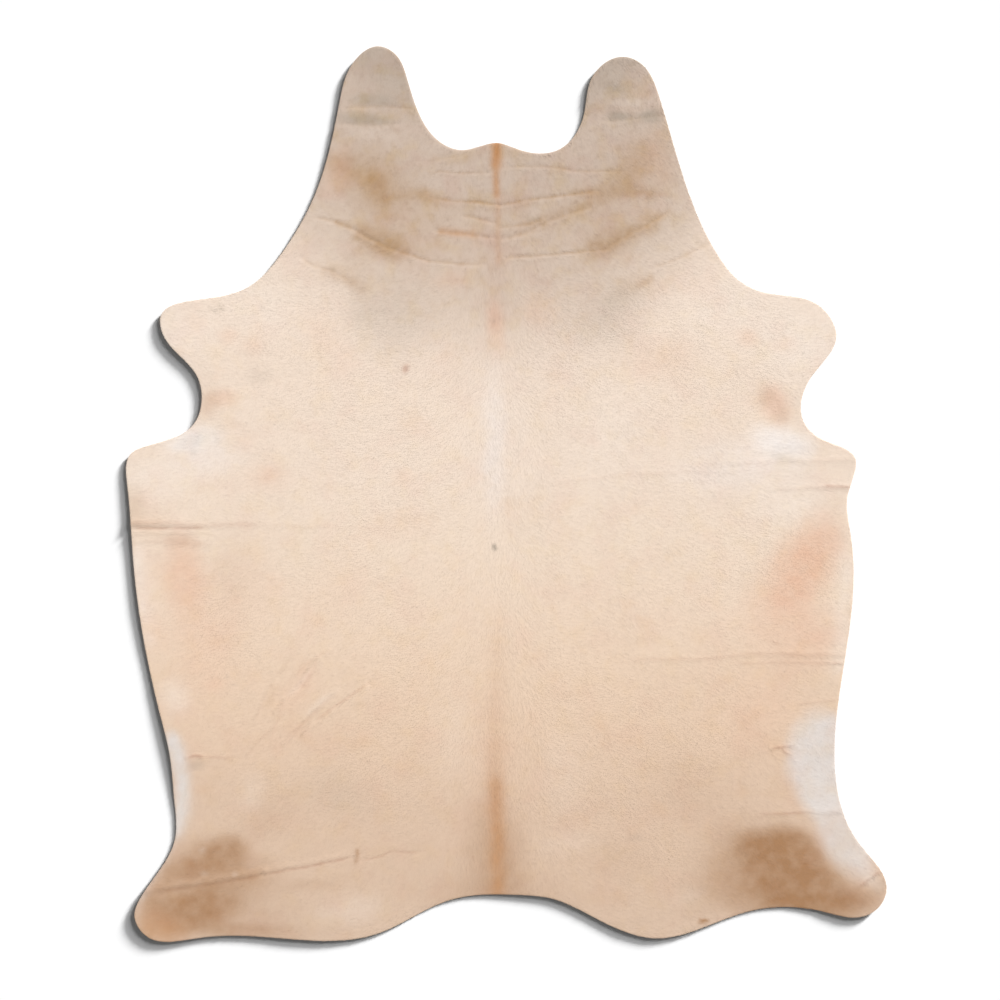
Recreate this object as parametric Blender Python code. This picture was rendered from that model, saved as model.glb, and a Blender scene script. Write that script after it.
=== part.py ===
"""A hair-on cowhide rug: one whole hide, cut to a smooth outline and laid flat.

The hide is one closed sheet, leather and its short coat together. It keeps the
outline of the skin: the cheeks beside the neck, the forelegs, the flanks, the hind
shanks and the rump. Shipping folds stand up as low ridges, the neck has its growth
wrinkles as shallow troughs, and the cut edge curls a few millimetres off the floor.

Frame: metres, +X to the right and +Y from the rump to the neck as seen from above,
+Z up with the hair side up. The origin is on the floor under the middle of the hide.
"""

from collections import namedtuple

import bpy
import numpy as np
from mathutils.geometry import delaunay_2d_cdt

# Driving sizes in metres
HIDE_WIDTH = 1.83
LEATHER_THICKNESS = 0.0022
COAT_DEPTH = 0.0018
BELLY_SHARE = 0.8
BELLY_REACH = 0.25
CENTIMETRE = 0.01
MILLIMETRE = 0.001

# How closely the faces follow the shape
RIM_POINTS = 300
RIM_LONGEST_STEP = 0.045
RIM_LARGEST_TURN = 0.26
CURVE_STEPS = 24
GRID_STEP = 0.05
ROW_HEIGHT_SHARE = 0.866
GRID_EDGE_CLEARANCE = 0.026
GRID_CREASE_CLEARANCE = 0.02
CREASE_STEP = 0.032
CREASE_EDGE_CLEARANCE = 0.012
CREASE_POINT_CLEARANCE = 0.0055
FLAT_BELOW = 0.00025
SMOOTH_ANGLE = 0.7

# The cut edge from above, clockwise from the middle of the neck. Each row is one
# stretch: its name, then points (across, along) in centimetres from the middle of
# the hide. One smooth closed curve runs through all of them.
Stretch = namedtuple("Stretch", "name points")
OUTLINE = [
    Stretch("neck", [(-2.0, 84.5), (3.1, 82.9), (12.9, 83.0)]),
    Stretch("right cheek", [(18.6, 90.7), (20.6, 100.0), (28.0, 105.2), (32.2, 103.8), (37.0, 95.3)]),
    Stretch("right shoulder", [(51.0, 57.5), (56.2, 51.3), (62.3, 48.5)]),
    Stretch("right foreleg", [(75.5, 45.2), (79.5, 38.0), (73.1, 27.6)]),
    Stretch("right armpit", [(71.5, 17.8), (75.5, 13.5), (84.2, 8.2)]),
    Stretch("right flank", [(83.7, 4.5), (82.2, -0.5), (83.0, -9.9), (79.3, -67.6)]),
    Stretch("right shank", [(84.9, -83.9), (91.5, -95.3), (89.5, -99.5), (83.9, -101.8), (77.2, -100.6)]),
    Stretch("right rump", [(58.7, -100.3), (35.8, -106.8), (20.2, -101.3), (11.2, -97.3)]),
    Stretch("left rump", [(3.3, -96.4), (-14.3, -97.9), (-29.7, -105.3), (-73.7, -106.7)]),
    Stretch("left shank", [(-86.9, -105.9), (-89.3, -101.3), (-87.9, -97.2), (-79.7, -83.3)]),
    Stretch("left flank", [(-79.9, -72.4), (-80.6, -64.5), (-83.3, -52.5), (-89.6, -16.4), (-91.0, 1.6)]),
    Stretch("left armpit", [(-90.3, 9.6), (-85.7, 11.8), (-74.9, 17.1), (-74.2, 28.2)]),
    Stretch("left foreleg", [(-82.4, 38.3), (-83.0, 42.8), (-73.7, 46.8)]),
    Stretch("left shoulder", [(-60.9, 50.5), (-54.4, 57.3), (-44.6, 75.6)]),
    Stretch("left cheek", [(-39.8, 95.5), (-37.8, 102.0), (-30.4, 107.7), (-26.3, 105.5), (-23.8, 100.1)]),
    Stretch("left of the neck", [(-14.7, 84.0), (-10.6, 82.8)]),
]

# Folds left by shipping: the sheet rises along a line, from one height in
# millimetres at its first point to another at its last. Points in centimetres.
Fold = namedtuple("Fold", "name first_rise last_rise half_width points")
FOLDS = [
    Fold("left flank", 3.5, 0.8, 1.3, [(-94.0, -7.2), (-82.1, -6.7), (-73.7, -7.7), (-49.6, -7.0)]),
    Fold("right elbow", 0.6, 2.6, 1.2, [(44.2, 6.7), (61.1, 7.5), (70.7, 7.7), (86.0, 8.6)]),
    Fold("right armpit", 0.8, 3.2, 1.1, [(63.5, 0.5), (74.3, 1.2), (85.0, 2.1)]),
    Fold("right flank", 0.7, 3.0, 1.3, [(27.4, -39.9), (46.6, -39.7), (61.1, -38.7), (86.0, -38.5)]),
    Fold("right thigh", 0.9, 2.4, 1.1, [(58.2, -77.0), (70.7, -76.8), (85.0, -76.2)]),
    Fold("left thigh", 3.2, 2.4, 1.3, [(-88.0, -96.8), (-79.7, -95.0), (-67.7, -93.4), (-58.1, -91.7)]),
    Fold("left rump", 2.4, 0.9, 1.1, [(-58.1, -91.7), (-37.6, -88.6), (-26.8, -85.9), (-19.6, -86.4)]),
    Fold("loin, long", 1.4, 1.8, 1.0, [(-48.2, -57.3), (-41.2, -52.5), (-33.3, -46.4)]),
    Fold("loin, short", 1.2, 1.4, 0.9, [(-50.6, -46.4), (-47.7, -43.6), (-45.3, -39.5)]),
    Fold("right shank", 1.2, 2.4, 0.9, [(82.2, -96.0), (86.3, -93.6), (92.0, -90.0)]),
    Fold("left flank, inner", 2.0, 0.8, 0.9, [(-76.6, -63.5), (-72.5, -63.0), (-66.5, -63.5)]),
    Fold("right flank, inner", 1.6, 1.0, 0.9, [(63.0, -60.4), (67.0, -61.2), (69.0, -64.0)]),
]

# Growth wrinkles of the neck and cheeks: troughs in the hair side alone
WRINKLES = [
    Fold("left neck, first", -0.3, -0.7, 0.6, [(-18.3, 78.0), (-2.6, 77.7)]),
    Fold("left neck, second", -0.3, -0.9, 0.6, [(-18.3, 71.0), (-8.7, 70.0), (-2.0, 69.3)]),
    Fold("left neck, third", -0.3, -0.7, 0.6, [(-15.9, 67.1), (-8.7, 66.9), (-2.0, 65.2)]),
    Fold("left neck, fourth", -0.4, -0.8, 0.7, [(-20.8, 63.0), (-11.1, 62.1), (-2.0, 61.6)]),
    Fold("left shoulder", -0.5, -0.9, 0.9, [(-38.8, 65.0), (-30.4, 60.4), (-23.2, 57.5), (-8.7, 55.8)]),
    Fold("right neck, first", -0.8, -0.4, 0.6, [(-0.8, 78.7), (10.5, 78.9), (25.0, 77.7)]),
    Fold("right neck, second", -0.9, -0.5, 0.7, [(-0.8, 69.3), (9.3, 71.0), (27.4, 74.1)]),
    Fold("right neck, third", -0.8, -0.6, 0.7, [(-0.8, 61.6), (12.9, 66.9), (27.4, 69.1)]),
    Fold("right shoulder", -0.8, -0.6, 0.9, [(-0.8, 56.3), (12.9, 58.7), (23.8, 60.6), (37.0, 67.1)]),
    Fold("left cheek, upper", -0.6, -0.6, 0.7, [(-38.8, 94.1), (-22.7, 93.8)]),
    Fold("left cheek, lower", -0.7, -0.5, 0.8, [(-40.5, 90.2), (-22.0, 90.5)]),
    Fold("right cheek", -0.6, -0.7, 0.8, [(22.6, 90.2), (39.4, 91.9)]),
]

# Where the edge curls off the floor: a soft swelling round a point of the edge,
# with its reach in centimetres and its height in millimetres
Curl = namedtuple("Curl", "name across along reach rise")
CURLS = [
    Curl("left cheek", -34.0, 108.0, 13.0, 6.0),
    Curl("left of the neck", -42.0, 84.0, 9.0, 3.5),
    Curl("right cheek", 24.0, 106.0, 13.0, 5.5),
    Curl("neck", 6.0, 83.0, 9.0, 2.5),
    Curl("left shoulder", -53.0, 61.0, 10.0, 2.5),
    Curl("left foreleg", -86.0, 37.0, 13.0, 7.0),
    Curl("left armpit", -73.0, 22.0, 9.0, 5.0),
    Curl("left elbow", -93.0, 3.0, 13.0, 5.0),
    Curl("left flank, upper", -90.0, -26.0, 15.0, 4.5),
    Curl("left flank, lower", -82.0, -58.0, 14.0, 5.0),
    Curl("left shank", -91.0, -104.0, 15.0, 6.5),
    Curl("left rump", -48.0, -108.0, 17.0, 4.5),
    Curl("rump", 8.0, -98.0, 12.0, 4.5),
    Curl("right rump", 33.0, -108.0, 14.0, 4.5),
    Curl("right shank", 88.0, -101.0, 13.0, 5.5),
    Curl("right flank", 84.0, -28.0, 18.0, 2.5),
    Curl("right foreleg", 80.0, 36.0, 12.0, 4.0),
]

# The edge in section, from the floor up: how far each ring of points lies inside
# the outline, and its height as a share of the thickness there
EdgeRing = namedtuple("EdgeRing", "name inset height_share")
UNDERSIDE_RING = EdgeRing("underside", 0.0009, 0.0)
CUT_RING = EdgeRing("cut edge", 0.0, 0.4)
SHOULDER_RING = EdgeRing("shoulder of the coat", 0.0014, 0.8)
TOP_RING = EdgeRing("hair side", 0.005, 1.0)

# The coat's plain colour, with the finish of short dry hair
COAT_COLOUR = (0.75, 0.60, 0.46, 1.0)
COAT_ROUGHNESS = 0.7


def closed_curve(knots, steps):
    """Points on the smooth closed cubic spline through the knots, by chord length."""
    count = len(knots)
    after = np.roll(knots, -1, axis=0)
    chord = np.linalg.norm(after - knots, axis=1)
    slope = (after - knots) / chord[:, None]
    system = np.zeros((count, count))
    for i in range(count):
        system[i, i - 1] += chord[i - 1]
        system[i, i] += 2.0 * (chord[i - 1] + chord[i])
        system[i, (i + 1) % count] += chord[i]
    bend = np.linalg.solve(system, 6.0 * (slope - np.roll(slope, 1, axis=0)))
    points = []
    for i in range(count):
        j = (i + 1) % count
        gone = chord[i] * np.arange(steps)[:, None] / steps
        left = chord[i] - gone
        points.append(
            (bend[i] * left**3 + bend[j] * gone**3) / (6.0 * chord[i])
            + (knots[i] / chord[i] - bend[i] * chord[i] / 6.0) * left
            + (knots[j] / chord[i] - bend[j] * chord[i] / 6.0) * gone
        )
    return np.vstack(points)


def spread_by_bend(curve, count):
    """Points along a closed curve, closer together where it turns more."""
    step = np.roll(curve, -1, axis=0) - curve
    heading = np.unwrap(np.arctan2(step[:, 1], step[:, 0]))
    turn = np.abs(np.diff(heading, append=heading[-1]))
    cost = np.linalg.norm(step, axis=1) / RIM_LONGEST_STEP + turn / RIM_LARGEST_TURN
    total = np.concatenate([[0.0], np.cumsum(cost)])
    wanted = np.linspace(0.0, total[-1], count, endpoint=False)
    closed = np.vstack([curve, curve[:1]])
    return np.column_stack([np.interp(wanted, total, closed[:, axis]) for axis in (0, 1)])


def outward_normals(ring):
    """Unit normals in the plane, pointing out of a clockwise ring."""
    along = np.roll(ring, -1, axis=0) - np.roll(ring, 1, axis=0)
    along /= np.linalg.norm(along, axis=1)[:, None]
    return np.column_stack([-along[:, 1], along[:, 0]])


def distance_to_line(points, line):
    """Distance from each point to a polyline, and how far along it the nearest place lies (0 to 1)."""
    starts = line[:-1]
    spans = line[1:] - starts
    lengths = np.linalg.norm(spans, axis=1)
    before = np.concatenate([[0.0], np.cumsum(lengths)])
    offset = points[:, None, :] - starts[None, :, :]
    share = np.clip((offset * spans).sum(axis=2) / lengths**2, 0.0, 1.0)
    gap = np.linalg.norm(offset - spans * share[:, :, None], axis=2)
    nearest = gap.argmin(axis=1)
    rows = np.arange(len(points))
    progress = (before[nearest] + share[rows, nearest] * lengths[nearest]) / before[-1]
    return gap[rows, nearest], progress


def inside(points, ring):
    """True for each point that lies inside the closed ring."""
    after = np.roll(ring, -1, axis=0)
    x, y = points[:, 0][:, None], points[:, 1][:, None]
    crosses = (ring[:, 1] > y) != (after[:, 1] > y)
    rise = np.where(crosses, after[:, 1] - ring[:, 1], 1.0)
    crossing_x = ring[:, 0] + (y - ring[:, 1]) * (after[:, 0] - ring[:, 0]) / rise
    return (crosses & (x < crossing_x)).sum(axis=1) % 2 == 1


def crease_points(folds, placed, ring):
    """Three rows of points along each fold, on its line and beside it."""
    closed = np.vstack([ring, ring[:1]])
    kept = []
    for fold in folds:
        line = placed(fold.points)
        lengths = np.linalg.norm(np.diff(line, axis=0), axis=1)
        along = np.concatenate([[0.0], np.cumsum(lengths)])
        steps = np.linspace(0.0, along[-1], max(3, round(along[-1] / CREASE_STEP) + 1))
        middle = np.column_stack([np.interp(steps, along, line[:, axis]) for axis in (0, 1)])
        heading = np.gradient(middle, axis=0)
        heading /= np.linalg.norm(heading, axis=1)[:, None]
        side = np.column_stack([-heading[:, 1], heading[:, 0]]) * fold.half_width * CENTIMETRE
        for row in (middle, middle + side, middle - side):
            clear = distance_to_line(row, closed)[0] > CREASE_EDGE_CLEARANCE
            for point in row[inside(row, ring) & clear]:
                if not kept or np.linalg.norm(np.array(kept) - point, axis=1).min() > CREASE_POINT_CLEARANCE:
                    kept.append(point)
    return np.array(kept)


def field_points(ring, creases):
    """A staggered grid over the rest of the hide."""
    low, high = ring.min(axis=0), ring.max(axis=0)
    rows = np.arange(low[1], high[1], GRID_STEP * ROW_HEIGHT_SHARE)
    columns = np.arange(low[0], high[0], GRID_STEP)
    grid = np.array([(x + GRID_STEP / 2.0 * (j % 2), y) for j, y in enumerate(rows) for x in columns])
    grid = grid[inside(grid, ring)]
    closed = np.vstack([ring, ring[:1]])
    grid = grid[distance_to_line(grid, closed)[0] > GRID_EDGE_CLEARANCE]
    gap = np.linalg.norm(grid[:, None, :] - creases[None, :, :], axis=2).min(axis=1)
    return grid[gap > GRID_CREASE_CLEARANCE]


def crease_height(points, folds, placed):
    """Height that the folds add at each point, highest on their lines."""
    total = np.zeros(len(points))
    for fold in folds:
        gap, progress = distance_to_line(points, placed(fold.points))
        rise = (fold.first_rise + (fold.last_rise - fold.first_rise) * progress) * MILLIMETRE
        total += rise * np.exp(-((gap / (fold.half_width * CENTIMETRE)) ** 2))
    return total


def lift_height(points, placed):
    """How far the underside is off the floor: folds and curled edges."""
    total = crease_height(points, FOLDS, placed)
    for curl in CURLS:
        centre = placed([(curl.across, curl.along)])[0]
        gap = np.linalg.norm(points - centre, axis=1)
        total += curl.rise * MILLIMETRE * np.exp(-((gap / (curl.reach * CENTIMETRE)) ** 2))
    return np.maximum(total - FLAT_BELOW, 0.0)


def thickness(points, ring):
    """Leather and coat together, thinner towards the belly edge."""
    gap = distance_to_line(points, np.vstack([ring, ring[:1]]))[0]
    inward = np.clip(gap / BELLY_REACH, 0.0, 1.0)
    share = BELLY_SHARE + (1.0 - BELLY_SHARE) * inward**2 * (3.0 - 2.0 * inward)
    return (LEATHER_THICKNESS + COAT_DEPTH) * share


def build_hide():
    """The hide as one closed mesh: hair side, three bands round the edge, underside."""
    knots = np.array([point for stretch in OUTLINE for point in stretch.points]) * CENTIMETRE
    curve = closed_curve(knots, CURVE_STEPS)
    low, high = curve.min(axis=0), curve.max(axis=0)
    scale = HIDE_WIDTH / (high[0] - low[0])
    middle = (low + high) / 2.0

    def placed(points):
        return (np.array(points) * CENTIMETRE - middle) * scale

    outline = spread_by_bend((curve - middle) * scale, RIM_POINTS)
    normals = outward_normals(outline)
    top_ring = outline - normals * TOP_RING.inset
    creases = crease_points(FOLDS + WRINKLES, placed, top_ring)
    field = np.vstack([creases, field_points(top_ring, creases)])

    flat = np.vstack([top_ring, field])
    rim_edges = [(i, (i + 1) % RIM_POINTS) for i in range(RIM_POINTS)]
    inside_only = 1
    merge_distance = 1e-6
    points, _, triangles, _, _, _ = delaunay_2d_cdt(
        [tuple(p) for p in flat], rim_edges, [], inside_only, merge_distance
    )
    flat = np.array([tuple(p) for p in points])
    field = flat[RIM_POINTS:]

    def ring_layer(ring):
        plan = outline - normals * ring.inset
        height = lift_height(outline, placed) + thickness(outline, outline) * ring.height_share
        return np.column_stack([plan, height])

    field_lift = lift_height(field, placed)
    field_top = field_lift + thickness(field, outline) + crease_height(field, WRINKLES, placed)
    layers = [
        ring_layer(TOP_RING),
        np.column_stack([field, field_top]),
        ring_layer(SHOULDER_RING),
        ring_layer(CUT_RING),
        ring_layer(UNDERSIDE_RING),
        np.column_stack([field, field_lift]),
    ]
    starts = np.concatenate([[0], np.cumsum([len(layer) for layer in layers])])
    top_at, _, shoulder_at, cut_at, under_at, under_field_at, _ = (int(v) for v in starts)

    faces = [tuple(face) for face in triangles]
    for face in triangles:
        under = [under_at + i if i < RIM_POINTS else under_field_at + i - RIM_POINTS for i in face]
        faces.append(tuple(reversed(under)))
    for upper, lower in ((top_at, shoulder_at), (shoulder_at, cut_at), (cut_at, under_at)):
        for i, j in rim_edges:
            faces.append((upper + i, upper + j, lower + j))
            faces.append((upper + i, lower + j, lower + i))

    mesh = bpy.data.meshes.new("hide")
    mesh.from_pydata(np.vstack(layers).tolist(), [], faces)
    mesh.update()
    return mesh


def coat_material():
    """Cream-beige short hair, dull and dry."""
    material = bpy.data.materials.new("short coat")
    material.use_nodes = True
    shader = material.node_tree.nodes["Principled BSDF"]
    shader.inputs["Base Color"].default_value = COAT_COLOUR
    shader.inputs["Roughness"].default_value = COAT_ROUGHNESS
    shader.inputs["Metallic"].default_value = 0.0
    material.diffuse_color = COAT_COLOUR
    return material


def main():
    for thing in list(bpy.data.objects):
        bpy.data.objects.remove(thing, do_unlink=True)
    mesh = build_hide()
    mesh.materials.append(coat_material())
    mesh.shade_smooth()
    mesh.set_sharp_from_angle(angle=SMOOTH_ANGLE)
    hide = bpy.data.objects.new("hide", mesh)
    bpy.context.scene.collection.objects.link(hide)


main()
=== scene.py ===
# %% [markdown]
# # A hair-on cowhide rug
# The object is one whole cowhide with its short pale coat left on, trimmed to a smooth
# outline and laid flat with the hair side up. A solid of the whole hide comes in as a
# fixed frame. This script dresses it: a fine sheet of leather takes the solid's place,
# and close to two hundred thousand small locks of hair are laid over it.

# %% Load the frame
from collections import namedtuple

import bmesh
import bpy
import numpy as np
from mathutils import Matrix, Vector, noise
from mathutils.bvhtree import BVHTree
from mathutils.geometry import delaunay_2d_cdt
from mathutils.kdtree import KDTree


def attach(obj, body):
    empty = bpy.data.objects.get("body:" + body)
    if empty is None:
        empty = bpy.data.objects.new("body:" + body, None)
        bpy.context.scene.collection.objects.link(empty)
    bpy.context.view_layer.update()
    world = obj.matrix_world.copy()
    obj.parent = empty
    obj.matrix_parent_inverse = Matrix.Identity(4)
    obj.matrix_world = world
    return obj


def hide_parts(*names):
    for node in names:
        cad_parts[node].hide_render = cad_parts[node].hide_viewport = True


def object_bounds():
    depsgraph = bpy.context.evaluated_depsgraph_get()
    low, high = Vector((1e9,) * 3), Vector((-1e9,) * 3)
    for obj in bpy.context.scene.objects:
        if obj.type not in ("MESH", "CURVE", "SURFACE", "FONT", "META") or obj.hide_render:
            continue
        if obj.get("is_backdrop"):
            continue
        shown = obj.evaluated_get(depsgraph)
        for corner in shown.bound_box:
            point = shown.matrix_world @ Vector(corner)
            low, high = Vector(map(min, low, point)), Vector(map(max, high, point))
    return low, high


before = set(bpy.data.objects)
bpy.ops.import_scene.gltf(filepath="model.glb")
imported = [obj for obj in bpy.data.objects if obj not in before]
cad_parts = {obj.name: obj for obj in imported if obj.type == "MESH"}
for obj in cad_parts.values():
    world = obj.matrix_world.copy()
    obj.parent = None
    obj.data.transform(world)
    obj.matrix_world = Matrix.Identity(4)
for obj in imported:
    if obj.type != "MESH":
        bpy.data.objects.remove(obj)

CENTIMETRE = 0.01
MILLIMETRE = 0.001
HIDE = "hide"
BODY = "root"
BAKE_MAP = "OFBake"

solid_box = [list(corner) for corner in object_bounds()]
solid_size = [high - low for low, high in zip(*solid_box)]
print("solid, in metres:", [round(side, 4) for side in solid_size])

# %% [markdown]
# ## The cut edge
# A tannery trims a hide along a smooth line, so everything starts from that line. It is
# read off the solid: seen from above, the outline runs along the edges where a face that
# looks up meets one that looks down. Between the solid's points, new ones are set on a
# smooth curve through them, and the curve is then cut into even steps.

# %% Read the cut edge off the solid
RIM_STEP = 6.0 * MILLIMETRE
WELD = 1e-6

solid = bmesh.new()
solid.from_mesh(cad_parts[HIDE].data)
bmesh.ops.remove_doubles(solid, verts=solid.verts, dist=WELD)
solid_tree = BVHTree.FromBMesh(solid)


def twice_area(ring):
    """Twice the area inside a closed ring, above zero when it runs anticlockwise."""
    after = np.roll(ring, -1, axis=0)
    return (ring[:, 0] * after[:, 1] - after[:, 0] * ring[:, 1]).sum()


def outer_ring(shape):
    """The outline from above, anticlockwise, as points in the plane."""
    beside = {}
    for edge in shape.edges:
        first, second = (face.normal.z > 0.0 for face in edge.link_faces)
        if first != second:
            for here, there in (edge.verts, reversed(edge.verts)):
                beside.setdefault(here, []).append(there)
    start = max(beside, key=lambda point: point.co.y)
    walked = [start, beside[start][0]]
    while walked[-1] is not start:
        before, here = walked[-2:]
        walked.append(next(point for point in beside[here] if point is not before))
    ring = np.array([point.co.xy for point in walked[:-1]])
    return ring if twice_area(ring) > 0.0 else ring[::-1]


def rounder(ring):
    """The ring with a point added between each two, by the four-point rule for smooth curves."""
    after = np.roll(ring, -1, axis=0)
    outer = np.roll(ring, 1, axis=0) + np.roll(ring, -2, axis=0)
    between = (9.0 * (ring + after) - outer) / 16.0
    return np.stack([ring, between], axis=1).reshape(-1, 2)


def even_steps(ring, step):
    """The closed ring cut into equal steps."""
    closed = np.vstack([ring, ring[:1]])
    walked = np.concatenate([[0.0], np.cumsum(np.linalg.norm(np.diff(closed, axis=0), axis=1))])
    stops = np.linspace(0.0, walked[-1], round(walked[-1] / step), endpoint=False)
    return np.column_stack([np.interp(stops, walked, closed[:, axis]) for axis in (0, 1)])


cut_edge = even_steps(rounder(rounder(outer_ring(solid))), RIM_STEP)
heading = np.roll(cut_edge, -1, axis=0) - np.roll(cut_edge, 1, axis=0)
heading /= np.linalg.norm(heading, axis=1)[:, None]
outward = np.column_stack([heading[:, 1], -heading[:, 0]])
print("points on the cut edge:", len(cut_edge))

# %% [markdown]
# ## Where a point lies
# Two questions come up again and again: how far inside the cut edge is a point, and how
# far is it from a line drawn on the hide? The first is answered with a KD tree, which
# finds the nearest point of the edge quickly. Both take whole arrays of points at once,
# because a loop over this many points in Python would be slow. Noise then makes lines
# and patches uneven. Blender's vector noise starts from the clock unless it is given a
# seed, so it gets one here, and the hide comes out the same each time.

# %% Distances on the hide
LINE_REACH = 12.0 * CENTIMETRE
FAR_AWAY = 9.0
NOISE_SEED = 7

noise.seed_set(NOISE_SEED)
edge_tree = KDTree(len(cut_edge))
for i, (across, along) in enumerate(cut_edge):
    edge_tree.insert((across, along, 0.0), i)
edge_tree.balance()


def depth_inside(points):
    """How far each point is inside the cut edge. It is below zero outside."""
    nearest = [edge_tree.find((across, along, 0.0))[1] for across, along in points]
    return ((cut_edge[nearest] - points) * outward[nearest]).sum(axis=1)


def along_line(points, line):
    """Each point's distance from a line, and how far along it the nearest place is, 0 to 1."""
    spans = np.diff(line, axis=0)
    lengths = np.linalg.norm(spans, axis=1)
    before = np.concatenate([[0.0], np.cumsum(lengths)])
    best = np.full(len(points), FAR_AWAY)
    progress = np.zeros(len(points))
    low, high = line.min(axis=0) - LINE_REACH, line.max(axis=0) + LINE_REACH
    close = ((points > low) & (points < high)).all(axis=1)
    places = points[close]
    for start, span, length, gone in zip(line[:-1], spans, lengths, before):
        share = np.clip((places - start) @ span / length**2, 0.0, 1.0)
        gap = np.linalg.norm(places - start - share[:, None] * span, axis=1)
        here = (gone + share * length) / before[-1]
        progress[close] = np.where(gap < best[close], here, progress[close])
        best[close] = np.minimum(best[close], gap)
    return best, progress


def wandered(points, size, amount):
    """The points pushed about by smooth noise, so that straight lines come out uneven."""
    push = [noise.noise_vector((across / size, along / size, 0.0)).xy for across, along in points]
    return points + amount * np.array(push)


def smooth_noise(points, size, layer):
    """Smooth noise at each point, from about -1 to 1. Each layer is a pattern of its own."""
    return np.array([noise.noise((across / size, along / size, layer)) for across, along in points])


def eased(share):
    """A share from 0 to 1 that starts and ends softly."""
    return share**2 * (3.0 - 2.0 * share)


print("deepest inside:", round(depth_inside(np.zeros((1, 2)))[0], 3), "m")
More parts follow.
